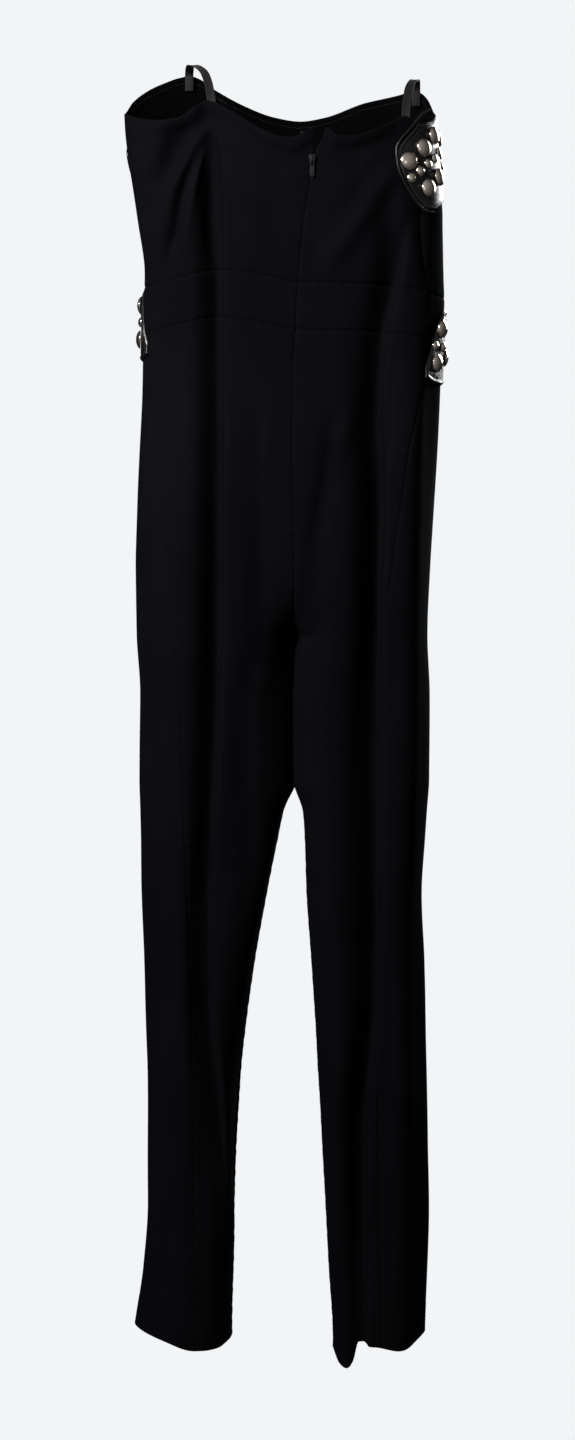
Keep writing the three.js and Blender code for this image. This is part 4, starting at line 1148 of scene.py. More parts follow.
def line_object(name: str, lines: Sequence[tuple[Array, Array]]) -> bpy.types.Object:
    """An object of bare edges along lines, with the direction that faces out at each point.

    Args:
        name: its name.
        lines: points in millimetres and facing directions of each line.

    Returns:
        The object.
    """
    points, facing, edges = [], [], []
    for at, out in lines:
        first = len(points)
        points += (np.asarray(at) * MM).tolist()
        facing += np.asarray(out).tolist()
        edges += [(first + i, first + i + 1) for i in range(len(at) - 1)]
    mesh = bpy.data.meshes.new(name)
    mesh.from_pydata(points, edges, [])
    layer = mesh.attributes.new("facing", "FLOAT_VECTOR", "POINT")
    layer.data.foreach_set("vector", np.array(facing, np.float32).ravel())
    return new_object(name, mesh)


def lathe(name: str, profile: Sequence[tuple[float, float]], sides: int, unit: float = 1.0) -> bpy.types.Object:
    """A closed turned shape round Z.

    Args:
        name: its name.
        profile: radius and height from the centre below to the centre above.
        sides: number of sides.
        unit: metres for one unit of the profile.

    Returns:
        The object.
    """
    points: list[tuple[float, float, float]] = []
    rings: list[list[int]] = []
    for radius, height in profile:
        if radius == 0:
            rings.append([len(points)])
            points.append((0.0, 0.0, height * unit / MM))
            continue
        ring = []
        for k in range(sides):
            angle = 2 * math.pi * k / sides
            ring.append(len(points))
            points.append((radius * math.cos(angle) * unit / MM, radius * math.sin(angle) * unit / MM, height * unit / MM))
        rings.append(ring)
    faces = []
    for low, high in zip(rings, rings[1:]):
        for k in range(sides):
            n = (k + 1) % sides
            if len(low) == 1:
                faces.append((low[0], high[n], high[k]))
            elif len(high) == 1:
                faces.append((low[k], low[n], high[0]))
            else:
                faces.append((low[k], low[n], high[n], high[k]))
    return new_object(name, mesh_from(name, np.array(points), faces))


# The camera, stage and light

@dataclass
class Studio:
    """The camera at the photograph's viewing angle, a pale floor and soft light."""

    distance: float = 3200.0
    elevation: float = 6.0
    target: tuple[float, float, float] = (-18.9, 0.0, -688.6)
    lens: float = 74.074
    sensor: float = 36.0
    floor_height: float = -1650.0
    floor_reach: float = 26000.0
    dome_radius: float = 30000.0
    ambient: float = 0.05
    mirrored: tuple[float, float] = (0.02, 0.42)
    backdrop: tuple[float, float, float] = (0.887, 0.905, 0.923)

    def camera(self) -> None:
        """Makes the camera. The long side of the picture is its height."""
        data = bpy.data.cameras.new("camera")
        data.sensor_fit = "AUTO"
        data.sensor_width = self.sensor
        data.lens = self.lens
        data.clip_start, data.clip_end = 0.05, 100.0
        made = bpy.data.objects.new("camera", data)
        angle = math.radians(self.elevation)
        x, y, z = (v * MM for v in self.target)
        made.location = (x, y - self.distance * MM * math.cos(angle), z + self.distance * MM * math.sin(angle))
        made.rotation_euler = (math.pi / 2 - angle, 0.0, 0.0)
        bpy.context.scene.collection.objects.link(made)
        bpy.context.scene.camera = made

    def stage(self) -> None:
        """Makes the pale floor and dome, which only show, and the dimmer dome that is reflected."""
        shader = Shader("pale_surroundings")
        shader.set(Base_Color=rgba((0.0, 0.0, 0.0)), Roughness=1.0, Specular_IOR_Level=0.0,
                   Emission_Color=rgba(self.backdrop), Emission_Strength=1.0)
        floor = lathe("stage_floor", ((0.0, self.floor_height - 1), (self.floor_reach, self.floor_height - 1),
                                      (self.floor_reach, self.floor_height), (0.0, self.floor_height)), 48, MM)
        arc = [math.radians(10 * k - 90) for k in range(19)]
        ring = [(abs(self.dome_radius * math.cos(a)) if 0 < k < 18 else 0.0, self.dome_radius * math.sin(a))
                for k, a in enumerate(arc)]
        dome = lathe("stage_dome", ring, 36, MM)
        room = Shader("reflected_room")
        place = room.node("ShaderNodeSeparateXYZ", None, {0: room.coordinates()})
        reach = self.dome_radius * MM
        nearness = room.spread(Value(room, place.outputs[1]), 0.5 * reach, -reach)
        height = room.spread(Value(room, place.outputs[2]), -reach, 0.6 * reach, 0.25, 1.0)
        low, high = (rgba([share * c for c in self.backdrop]) for share in self.mirrored)
        room.set(Base_Color=rgba((0.0, 0.0, 0.0)), Roughness=1.0, Specular_IOR_Level=0.0, Emission_Strength=1.0,
                 Emission_Color=room.blend(nearness ** 1.6 * height, low, high))
        mirrored = lathe("stage_reflected_dome", [(0.98 * r, 0.98 * z) for r, z in ring], 36, MM)
        mirrored.visible_camera = False
        for piece, material in ((floor, shader.material), (dome, shader.material), (mirrored, room.material)):
            piece.data.materials.append(material)
            piece.visible_diffuse = False
            piece.visible_shadow = False
            piece.visible_glossy = piece is mirrored
        world = bpy.data.worlds.new("soft_ambient")
        world.use_nodes = True
        world.node_tree.nodes["Background"].inputs["Color"].default_value = rgba(self.backdrop)
        world.node_tree.nodes["Background"].inputs["Strength"].default_value = self.ambient
        bpy.context.scene.world = world
        bpy.context.scene.view_settings.view_transform = "Standard"

    def lights(self) -> None:
        """Makes the soft lights round the garment."""
        table = (
            ("key", (-1050, -1350, 600), 500, 74.0),
            ("camera_side", (300, -2800, -300), 1400, 2.5),
            ("far_side", (1300, 1500, 300), 1200, 60.0),
        )
        for name, place, size, power in table:
            data = bpy.data.lights.new(name, "AREA")
            data.shape, data.size, data.energy = "DISK", size * MM, power
            made = bpy.data.objects.new(name, data)
            made.location = [v * MM for v in place]
            aim = Vector([v * MM for v in self.target]) - made.location
            made.rotation_euler = aim.to_track_quat("-Z", "Y").to_euler()
            bpy.context.scene.collection.objects.link(made)


# The garment's pieces

class Border(Enum):
    """How a cloth panel ends at one of its borders."""

    SEAM = "sewn to its neighbour"
    TURNED = "turned in and faced"


@dataclass(frozen=True)
class Cut:
    """One cloth panel: its node, its lines and edges, its borders and its flat cut."""

    node: str
    start: Callable[[Array], Array]
    end: Callable[[Array], Array]
    top: tuple[Table, Table, float, float]
    foot: tuple[Table, Table, float, float]
    borders: tuple[Border, Border, Border, Border]
    flat: tuple[float, float]
    area: float
    rests_on: tuple[str, ...]


# Flat width and length of each half's panels in metres, and their area in square metres
FLATS = {
    "bodice": {Side.LEFT: ((0.218, 0.177), 0.0337), Side.RIGHT: ((0.154, 0.179), 0.0213)},
    "waistband": {Side.LEFT: ((0.191, 0.05), 0.0095), Side.RIGHT: ((0.163, 0.05), 0.008)},
    "leg": {Side.LEFT: ((0.19, 1.116), 0.149), Side.RIGHT: ((0.167, 1.125), 0.1412)},
    "leg_front": {Side.LEFT: ((0.295, 1.101), 0.27), Side.RIGHT: ((0.285, 1.111), 0.2766)},
}


@dataclass
class Cloth:
    """The crepe panels, each a thin shell on its solid's form with its creases and seams."""

    finish: bpy.types.Material
    step: float = 3.0
    thickness: float = 0.9
    facing: float = 0.8
    facing_depth: float = 34.0
    roll: float = 0.75
    roll_width: float = 1.3
    pucker: float = 0.22
    pucker_reach: float = 7.0
    near_border: tuple[float, ...] = (0.0, 0.4, 1.0, 2.0)

    def cuts(self) -> list[Cut]:
        """The ten panels of the garment.

        Returns:
            Their cuts, from the bodice down.
        """
        seam, turned, half = Border.SEAM, Border.TURNED, -0.05
        band = -49.0
        top = (TOP_BACK, TOP_FRONT, 0.0, -45.0)
        waist_over = (WAIST_BACK, WAIST_FRONT, half, -225.0)
        waist_under = (WAIST_BACK, WAIST_FRONT, -half, -225.0)
        band_over = (WAIST_BACK, WAIST_FRONT, band + half, -225.0)
        band_under = (WAIST_BACK, WAIST_FRONT, band - half, -225.0)
        hem = (HEM_BACK, HEM_FRONT, 0.0, -1370.0)
        made = []
        for side in Side:
            far = f"bodice_back_{side.word}"
            centre = zip_edge if side is Side.RIGHT else centre_back(side)
            made.append(Cut(far, *self.ordered(side, centre, side_seam(side, -SEAM_SHIFT)), top, waist_over,
                            (turned, seam, seam, seam), *FLATS["bodice"][side], (f"hanger_loop_{side.word}",)))
            made.append(Cut(f"waistband_back_{side.word}",
                            *self.ordered(side, centre_back(side), side_seam(side, -SEAM_SHIFT)),
                            waist_under, band_over, (seam,) * 4, *FLATS["waistband"][side], (far,)))
            made.append(Cut(f"leg_back_{side.word}",
                            *self.ordered(side, centre_back(side), side_seam(side, -SEAM_SHIFT)),
                            band_under, hem, (seam, turned, seam, seam), *FLATS["leg"][side],
                            (f"waistband_back_{side.word}",)))
            made.append(Cut(f"leg_front_{side.word}",
                            *self.ordered(side, side_seam(side, SEAM_SHIFT), centre_front(side)),
                            band_under, hem, (seam, turned, seam, seam), *FLATS["leg_front"][side],
                            ("waistband_front",)))
        whole = (side_seam(Side.LEFT, SEAM_SHIFT), side_seam(Side.RIGHT, SEAM_SHIFT))
        made.append(Cut("bodice_front", *whole, top, waist_over, (turned, seam, seam, seam), (0.448, 0.222), 0.0876,
                        ("hanger_loop_left", "hanger_loop_right")))
        made.append(Cut("waistband_front", *whole, waist_under, band_over, (seam,) * 4, (0.425, 0.05), 0.021,
                        ("bodice_front",)))
        return made

    def ordered(self, side: Side, first: Callable[[Array], Array],
                second: Callable[[Array], Array]) -> tuple[Callable[[Array], Array], Callable[[Array], Array]]:
        """Two lines of one half, in the order of rising laps."""
        return (first, second) if side is Side.LEFT else (second, first)

    def lines(self, cut: Cut) -> tuple[Callable[[Array], Array], Array, Array]:
        """Lines down a panel, evenly spaced over the cloth and closer together at its seams.

        Args:
            cut: the panel.

        Returns:
            The laps of all lines at one height for each, and each line's distance over the
            cloth from the first at every height sampled.
        """
        low = min(cut.foot[0].rows[0][1] + cut.foot[2] - 90, -300)
        heights = sampled_heights(max(low, -1416.0), 14.0, 6.0)
        share = np.linspace(0, 1, 260)
        start, end = cut.start(heights)[:, None], cut.end(heights)[:, None]
        lap = start + (end - start) * share
        grid_z = np.repeat(heights[:, None], len(share), axis=1)
        at = FORM.point(lap, grid_z)
        run = np.linalg.norm(np.diff(at, axis=1), axis=-1)
        travelled = np.concatenate([np.zeros((len(heights), 1)), np.cumsum(run, axis=1)], axis=1)
        width = travelled[:, -1]
        near = np.array(self.near_border)
        count = max(4, int(round((width.max() - 2 * near[-1]) / self.step)))
        inside = np.linspace(0, 1, count + 1)[1:-1]
        wanted = np.concatenate([
            np.repeat(near[None, :], len(width), axis=0),
            near[-1] + (width[:, None] - 2 * near[-1]) * inside,
            width[:, None] - near[::-1],
        ], axis=1)
        laps = np.array([np.interp(wanted[i], travelled[i], lap[i]) for i in range(len(heights))])

        def lap_at(z: Array) -> Array:
            """The laps of all lines, at one height for each or for all."""
            z = np.broadcast_to(np.asarray(z, float), (*np.shape(z)[:-1], laps.shape[1]) if np.ndim(z) else (laps.shape[1],))
            i, t = between(heights, z)
            column = np.broadcast_to(np.arange(laps.shape[1]), z.shape)
            return laps[i, column] * (1 - t) + laps[i + 1, column] * t

        return lap_at, heights, wanted

    def grid(self, cut: Cut) -> dict[str, Array]:
        """A panel's laps, heights and distances to its borders.

        Args:
            cut: the panel.

        Returns:
            lap, z, across, down, from_start, from_end, from_top and from_foot by name.
        """
        lap_at, heights, wanted = self.lines(cut)
        edges = []
        for back, front, shift, start in (cut.top, cut.foot):
            edges.append(FORM.edge(back, front, lambda z, s=shift: lap_at(z + s), start) + shift)
        top, foot = edges
        tall = (top - foot)[None, :]
        near = np.array(self.near_border)
        count = max(3, int(round((tall.max() - 2 * near[-1]) / self.step)))
        inside = np.linspace(0, 1, count + 1)[1:-1]
        down = np.concatenate([
            np.repeat(near[:, None], tall.shape[1], axis=1),
            near[-1] + (tall - 2 * near[-1]) * inside[:, None],
            tall - near[::-1][:, None],
        ])
        z = top[None, :] - down
        lap = lap_at(z)
        i, t = between(heights, z)
        column = np.broadcast_to(np.arange(wanted.shape[1]), z.shape)
        across = wanted[i, column] * (1 - t) + wanted[i + 1, column] * t
        return {"lap": lap, "z": z, "across": across, "down": down, "from_start": across,
                "from_end": across[:, -1:] - across, "from_top": down, "from_foot": tall - down}

    def panel(self, cut: Cut) -> bpy.types.Object:
        """Builds one panel.

        Args:
            cut: the panel.

        Returns:
            The piece.
        """
        g = self.grid(cut)
        distances = (g["from_top"], g["from_foot"], g["from_start"], g["from_end"])
        outer = np.zeros_like(g["z"])
        inner = np.full_like(g["z"], -self.thickness)
        for place, (border, distance) in enumerate(zip(cut.borders, distances)):
            along = g["across"] if place < 2 else g["down"]
            if border is Border.SEAM:
                outer -= self.roll * np.exp(-((distance / self.roll_width) ** 2))
                beat = np.sin(along / 1.9 + 1.3 * place) + 0.7 * np.sin(along / 3.1 + 2.0)
                outer += self.pucker * beat * np.exp(-distance / self.pucker_reach)
                inner += 0.5 * self.pucker * beat * np.exp(-distance / self.pucker_reach)
            if border is Border.TURNED:
                outer -= 0.5 * np.exp(-((distance / 0.6) ** 2))
                outer += 0.18 * np.exp(-((distance - 2.2) ** 2) / 3.0)
                edge = 1 / (1 + np.exp(np.clip((distance - self.facing_depth) / 0.5, -50, 50)))
                outer += 0.12 * edge - 0.1 * np.exp(-((distance - self.facing_depth) ** 2) / 2.0)
                inner -= self.facing * edge * (1 - np.exp(-((distance / 1.0) ** 2)))
                inner += 0.5 * np.exp(-((distance / 0.5) ** 2))
        if cut.node.startswith("bodice_back"):
            x = FORM.point(g["lap"], g["z"])[..., 0]
            past = np.clip((g["from_top"] - LIP.value("reach", x)) / LIP.value("fall", x), -50, 50)
            lip = LIP.value("height", x) / (1 + np.exp(past))
            outer, inner = outer + lip, inner + lip
        outside = FORM.raised(g["lap"], g["z"], outer)
        inside = FORM.raised(g["lap"], g["z"], inner)
        uv = np.stack([g["across"] * MM, -g["z"] * MM], axis=-1)
        made = new_object(f"cloth_{cut.node}", shell(cut.node, outside, inside, uv))
        mark_inner(made.data)
        area = self.surface(outside)
        log.info("%s: widest %.3f m, longest %.3f m, cloth %.4f m2", cut.node, g["across"].max() * MM,
                 g["from_foot"].max() * MM, area)
        return made

    @staticmethod
    def surface(grid: Array) -> float:
        """Area of a grid of points, in square metres."""
        a = grid[1:, 1:] - grid[:-1, :-1]
        b = grid[1:, :-1] - grid[:-1, 1:]
        return float(np.linalg.norm(np.cross(a, b), axis=-1).sum() / 2) * MM * MM

    def build(self) -> None:
        """Builds and dresses every panel and hides the nodes it replaces."""
        for cut in self.cuts():
            piece = self.panel(cut)
            enlist(piece, self.finish, [cut.node])
            list(cut.rests_on)


@dataclass(frozen=True)
class Place:
    """Where a leather panel's back tip lies on one side, and how far it is lifted."""

    turn: float
    up: float


BUST_PANEL = Table(("along", "top", "bottom"), (
    (2.5, -84, -99), (5, -79, -110), (11, -72, -121), (18, -65, -132), (26, -56, -141), (34, -48, -146),
    (44, -44, -147), (56, -40, -142), (70, -38, -135), (84, -34, -130), (96, -44, -119), (103, -58, -104),
))
HIP_PANEL = Table(("along", "top", "bottom"), (
    (0, -311, -322), (8, -294, -325), (14, -280, -327), (24, -258, -329), (34, -250, -330),
    (46, -251, -329), (58, -264, -325), (66, -284, -316),
))
BUST_STUDS = (
    ("large", 13, -97), ("large", 32, -82.5), ("large", 49, -69), ("large", 36, -124), ("large", 55, -112),
    ("small", 15.5, -114.5), ("small", 26.5, -107), ("small", 37, -99), ("small", 48, -93), ("small", 59, -85),
    ("large", 75, -70), ("large", 81, -103), ("small", 74, -87),
)
HIP_STUDS = (
    ("large", 26, -270), ("large", 20, -306), ("small", 14.5, -288), ("small", 31, -289), ("large", 47, -300),
)


@dataclass(frozen=True)
class LeatherPanel:
    """One leather panel with its rim, stitches, studs and, on the bust, its piping."""

    part: str
    side: Side
    place: Place
    cut: Table
    studs: tuple[tuple[str, float, float], ...]
    flat: tuple[float, float]
    area: float
    piped_rows: int = 0
    lift: float = 1.2
    thick: float = 1.6
    step: float = 1.8
    rim: float = 4.2
    piping_radius: float = 1.5
    piping_gap: float = 0.7

    def spot(self, along: Array, z: Array, out: Array | float) -> Array:
        """Points at a distance along the cloth from the back tip, at heights of the cut."""
        along, z = np.broadcast_arrays(np.asarray(along, float), np.asarray(z, float))
        height = z + self.place.up
        start = np.full(height.shape, self.side.value * (2 - self.place.turn))
        return FORM.raised(FORM.walked(self.side, start, height, along), height, out, 0.5)

    def facing(self, along: Array, z: Array) -> Array:
        """Directions out of the panel at distances along it and heights of the cut."""
        along, z = np.broadcast_arrays(np.asarray(along, float), np.asarray(z, float))
        height = z + self.place.up
        start = np.full(height.shape, self.side.value * (2 - self.place.turn))
        return FORM.normal(FORM.walked(self.side, start, height, along), height)

    def bounds(self, along: Array) -> tuple[Array, Array]:
        """Top and bottom heights of the cut, kept under the garment's edge.

        Args:
            along: distances from the back tip.

        Returns:
            The top and the bottom heights.
        """
        top, bottom = self.cut.value("top", along), self.cut.value("bottom", along)
        middle = (top + bottom) / 2 + self.place.up
        start = np.full(middle.shape, self.side.value * (2 - self.place.turn))
        lap = FORM.walked(self.side, start, middle, along)
        edge = FORM.edge(TOP_BACK, TOP_FRONT, lambda z: lap, -45.0) - 1.5 - self.place.up
        return np.minimum(top, edge), bottom

    def leather(self, finish: bpy.types.Material) -> None:
        """Builds the leather itself, its rim folded and its edge turned down to the cloth."""
        reach = self.cut.rows[-1][0]
        inside = np.linspace(0, 1, int(reach / self.step))
        along = np.concatenate([[0.35, 0.8], 1.5 + (reach - 3) * inside, [reach - 0.8, reach - 0.35]])
        top, bottom = self.bounds(along)
        rows = int((top - bottom).max() / self.step)
        share = np.concatenate([[0, 0.006, 0.015], np.linspace(0.03, 0.97, rows), [0.985, 0.994, 1]])
        z = top[None, :] + (bottom - top)[None, :] * share[:, None]
        flat = np.repeat(along[None, :], len(share), axis=0)
        edge = self.distance(flat, z, along, top, bottom)
        turned = np.exp(-((edge / 1.2) ** 2))
        rim = np.clip((self.rim + 0.5 - edge) / 1.0, 0, 1)
        outer = self.lift + self.thick - 0.35 + 0.5 * rim - 1.7 * turned
        outer = outer + 0.16 * np.sin(flat / 4.1 + z / 9.0) * np.exp(-edge / 9)
        outer = outer - 0.35 * np.exp(-((edge - self.rim - 0.9) ** 2) / 0.6)
        inner = self.lift - 0.8 - 0.2 * turned
        uv = np.stack([flat * MM, z * MM], axis=-1)
        node = f"{self.part}_leather_{self.side.word}"
        mesh = shell(node, self.spot(flat, z, outer), self.spot(flat, z, inner), uv)
        piece = enlist(new_object(f"panel_{node}", mesh), finish, [node])
        log.info("%s: cut area %.5f m2", node, ((top - bottom)[1:] * np.diff(along)).sum() * MM * MM)

    @staticmethod
    def distance(flat: Array, z: Array, along: Array, top: Array, bottom: Array) -> Array:
        """Distance of each point of the cut to its border."""
        border = np.concatenate([np.stack([along, top], -1), np.stack([along, bottom], -1)[::-1]])
        border = np.concatenate([border, border[:1]])
        best = np.full(flat.shape, 1e9)
        for a, b in zip(border, border[1:]):
            run = b - a
            length = max(float(run @ run), 1e-9)
            t = np.clip(((flat - a[0]) * run[0] + (z - a[1]) * run[1]) / length, 0, 1)
            best = np.minimum(best, np.hypot(flat - a[0] - t * run[0], z - a[1] - t * run[1]))
        return best

    def inset(self, by: float, samples: int = 120) -> tuple[Array, Array]:
        """A line round the cut, inside its border.

        Args:
            by: how far inside.
            samples: points on each long edge.

        Returns:
            Distances along and heights of its points, which end where they start.
        """
        reach = self.cut.rows[-1][0]
        along = np.linspace(0, reach, samples)
        top, bottom = self.bounds(along)
        x = np.concatenate([along, along[::-1]])
        z = np.concatenate([top, bottom[::-1]])
        dx, dz = np.roll(x, -1) - np.roll(x, 1), np.roll(z, -1) - np.roll(z, 1)
        length = np.maximum(np.hypot(dx, dz), 1e-6)
        x, z = x + by * dz / length, z - by * dx / length
        keep = self.distance(x, z, along, top, bottom) > by * 0.93
        x, z = x[keep], z[keep]
        return np.append(x, x[0]), np.append(z, z[0])

    def stitches(self, tree: Repeat, stitch: bpy.types.Object, finish: bpy.types.Material) -> None:
        """A row of stitches that holds the folded rim."""
        along, z = self.inset(self.rim - 1.3)
        line = (self.spot(along, z, self.lift + self.thick + 0.2), self.facing(along, z))
        piece = line_object(f"rim_stitches_{self.part}_{self.side.word}", [line])
        tree.apply(piece, {"Piece": stitch, "Pitch": 3.0 * MM, "Material": finish})
        enlist(piece, None)

    def piping(self, tree: Repeat, finish: bpy.types.Material) -> None:
        """The corded edge beside the panel's back borders."""
        rows = self.cut.rows[:self.piped_rows]
        edge = [(row[0], row[1]) for row in reversed(rows)] + [(row[0], row[2]) for row in rows]
        flat = np.array(edge, float) + (0, self.place.up)
        ahead = np.concatenate([flat[1:], flat[-1:]]) - np.concatenate([flat[:1], flat[:-1]])
        ahead /= np.linalg.norm(ahead, axis=1, keepdims=True)
        away = flat + np.stack([ahead[:, 1], -ahead[:, 0]], -1) * (self.piping_radius + self.piping_gap)
        stations = self.spot(away[:, 0], away[:, 1] - self.place.up, self.lift + self.piping_radius)
        points, _ = catmull_rom(stations, 160)
        node = f"{self.part}_piping_{self.side.word}"
        piece = line_object(f"cord_{node}", [(points, np.zeros_like(points) + (0, 0, 1))])
        tree.apply(piece, {"Radius": self.piping_radius * MM, "Material": finish})
        enlist(piece, None, [node])

    def studwork(self, tree: Repeat, dome: bpy.types.Object, finish: bpy.types.Material) -> None:
        """The panel's domed studs, as one piece."""
        sizes = {"large": (9.6, 9.6, 4.6), "small": (5.2, 5.2, 3.0)}
        along = np.array([stud[1] for stud in self.studs], float)
        z = np.array([stud[2] for stud in self.studs], float)
        mesh = bpy.data.meshes.new("studs")
        mesh.from_pydata((self.spot(along, z, self.lift + self.thick + 0.25) * MM).tolist(), [], [])
        facing = mesh.attributes.new("facing", "FLOAT_VECTOR", "POINT")
        facing.data.foreach_set("vector", self.facing(along, z).astype(np.float32).ravel())
        size = mesh.attributes.new("size", "FLOAT_VECTOR", "POINT")
        size.data.foreach_set("vector", np.array([sizes[stud[0]] for stud in self.studs], np.float32).ravel())
        piece = new_object(f"{self.part}_studs_{self.side.word}", mesh)
        tree.apply(piece, {"Dome": dome, "Swell": 1.0, "Material": finish})
        counts = {"large": 0, "small": 0}
        nodes = []
        for kind, _, _ in self.studs:
            counts[kind] += 1
            nodes.append(f"{self.part}_stud_{self.side.word}_{kind}_{counts[kind]}")
        enlist(piece, None, nodes)


@dataclass
class Trim:
    """All leather panels with what is sewn or set on them."""

    leather: bpy.types.Material
    metal: bpy.types.Material
    thread: bpy.types.Material
    dome_profile: tuple[tuple[float, float], ...] = (
        (0.0, 0.0), (0.97, 0.0), (1.0, 0.06), (1.0, 0.15), (0.96, 0.27), (0.88, 0.43), (0.76, 0.61),
        (0.61, 0.76), (0.44, 0.88), (0.26, 0.96), (0.12, 0.99), (0.0, 1.0),
    )

    def panels(self) -> list[LeatherPanel]:
        """The four panels."""
        return [
            LeatherPanel("bust", Side.LEFT, Place(1.09, 0), BUST_PANEL, BUST_STUDS, (0.103, 0.113), 0.0083, 7),
            LeatherPanel("bust", Side.RIGHT, Place(0.455, 0), BUST_PANEL, BUST_STUDS, (0.103, 0.113), 0.0083, 7),
            LeatherPanel("hip", Side.LEFT, Place(0.813, 25), HIP_PANEL, HIP_STUDS, (0.066, 0.08), 0.0038),
            LeatherPanel("hip", Side.RIGHT, Place(0.684, 0), HIP_PANEL, HIP_STUDS, (0.066, 0.08), 0.0038),
        ]

    def build(self) -> None:
        """Builds every panel with its piping, stitches and studs."""
        dome = lathe("dome", self.dome_profile, 28, MM)
        stitch = thread_stitch("leather_stitch", 2.1, 0.34)
        studs, rows, tubes = studs_tree(), row_tree(), tube_tree()
        for panel in self.panels():
            panel.leather(self.leather)
            panel.stitches(rows, stitch, self.thread)
            panel.studwork(studs, dome, self.metal)
            if panel.piped_rows:
                panel.piping(tubes, self.leather)
        for source in (dome, stitch):
            bpy.data.objects.remove(source)


def thread_stitch(name: str, length: float, radius: float) -> bpy.types.Object:
    """One stitch of thread along X, its ends dipping into the cloth.

    Args:
        name: its name.
        length: its length.
        radius: the thread's radius.

    Returns:
        The object.
    """
    rings, sides = 5, 6
    points = []
    for i in range(rings):
        t = i / (rings - 1)
        bow = math.sin(math.pi * t)
        size = radius * (0.45 + 0.55 * bow)
        for k in range(sides):
            angle = 2 * math.pi * k / sides
            points.append(((t - 0.5) * length, size * math.cos(angle), size * math.sin(angle) + radius * (0.8 * bow - 0.7)))
    faces: list[Sequence[int]] = []
    for i in range(rings - 1):
        for k in range(sides):
            n = (k + 1) % sides
            faces.append((i * sides + k, i * sides + n, (i + 1) * sides + n, (i + 1) * sides + k)[::-1])
    faces.append(tuple(range(sides)))
    faces.append(tuple(reversed(range((rings - 1) * sides, rings * sides))))
    faces = [face[::-1] for face in faces]
    return new_object(name, mesh_from(name, np.array(points), faces))


@dataclass
class Zip:
    """The centre-back zip: two tapes, their teeth, the slider and its tab."""

    tape: bpy.types.Material
    teeth: bpy.types.Material
    metal: bpy.types.Material
    width: float = 11.0
    thick: float = 0.8
    foot: float = -330.0
    tops: tuple[float, float] = (-67.0, -70.0)
    inset: float = 0.4
    behind: float = 2.55
    pitch: float = 1.5

    def edge(self, side: Side) -> Callable[[Array], Array]:
        """The line that one tape follows."""
        return zip_edge if side is Side.RIGHT else centre_back(side)

    def at(self, side: Side, across: Array, z: Array, out: Array | float) -> Array:
        """Points behind the cloth, at distances across the tape."""
        across, z = np.broadcast_arrays(np.asarray(across, float), np.asarray(z, float))
        start = np.clip(np.abs(self.edge(side)(z)), 0, 1.99) * side.value
        return FORM.raised(FORM.walked(side, start, z, across), z, out, 0.3)

    def tapes(self) -> None:
        """Both tapes, a corded edge on each."""
        for side, top in zip(Side, self.tops):
            across = np.concatenate([[self.inset], np.linspace(self.inset + 0.4, self.width - 0.4, 12), [self.width]])
            z = np.linspace(top, self.foot, 130)
            flat, down = np.meshgrid(across, z)
            cord = 0.25 * np.exp(-((flat - 1.4) ** 2) / 0.8)
            middle = -(self.behind + self.thick / 2)
            outer = self.at(side, flat, down, middle + 0.3 + cord)
            inner = self.at(side, flat, down, middle - 0.3)
            uv = np.stack([flat * MM, down * MM], -1)
            node = f"zip_tape_{side.word}"
            piece = new_object(f"woven_{node}", shell(node, outer, inner, uv))
            enlist(piece, self.tape, [node])
            (top - self.foot) * MM

    def rows_of_teeth(self, tree: Repeat) -> None:
        """The teeth along both tapes."""
        profile = [(-0.55, -0.5), (0.55, -0.5), (0.7, 0.1), (0.45, 0.75), (-0.45, 0.75), (-0.7, 0.1)]
        points = [(x, y, z) for y in (-1.0, 1.0) for x, z in profile]
        n = len(profile)
        faces: list[Sequence[int]] = [tuple(range(n))[::-1], tuple(range(n, 2 * n))]
        faces += [(k, (k + 1) % n, (k + 1) % n + n, k + n) for k in range(n)]
        tooth = new_object("tooth", mesh_from("tooth", np.array(points), [face[::-1] for face in faces]))
        for side, top in zip(Side, self.tops):
            z = np.linspace(top - 3, self.foot + 4, 300)
            lift = -(self.behind + self.thick / 2) + 0.75
            at = self.at(side, np.full_like(z, 1.2), z, lift)
            start = np.clip(np.abs(self.edge(side)(z)), 0, 1.99) * side.value
            piece = line_object(f"zip_teeth_{side.word}", [(at, FORM.normal(start, z))])
            tree.apply(piece, {"Piece": tooth, "Pitch": self.pitch * MM, "Material": self.teeth})
            enlist(piece, None)
        bpy.data.objects.remove(tooth)

    def hardware(self) -> None:
        """The slider and tab, their solids' own shapes with their edges rounded."""
        for node, body, width in (("zip_slider", "garment", 0.28), ("zip_pull_tab", "zip_tab", 0.22)):
            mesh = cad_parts[node].data.copy()
            mesh.materials.clear()
            piece = new_object(f"rounded_{node}", mesh)
            weld = piece.modifiers.new("weld", "WELD")
            weld.merge_threshold = 0.00001
            bevel = piece.modifiers.new("bevel", "BEVEL")
            bevel.width, bevel.segments, bevel.limit_method = width * MM, 2, "ANGLE"
            bevel.angle_limit = math.radians(28)
            graph = bpy.context.evaluated_depsgraph_get()
            made = bpy.data.meshes.new_from_object(piece.evaluated_get(graph), depsgraph=graph)
            piece.modifiers.clear()
            piece.data = made
            made.polygons.foreach_set("use_smooth", np.ones(len(made.polygons), bool))
            enlist(piece, self.metal, [node], body)

    def build(self) -> None:
        """Builds the zip."""
        self.tapes()
        self.rows_of_teeth(row_tree())
        self.hardware()


@dataclass(frozen=True)
class Loop:
    """Where one ribbon leaves the back and front edges, and its crest."""

    side: Side
    back_x: float
    front_x: float
    crest_y: float
    crest_z: float


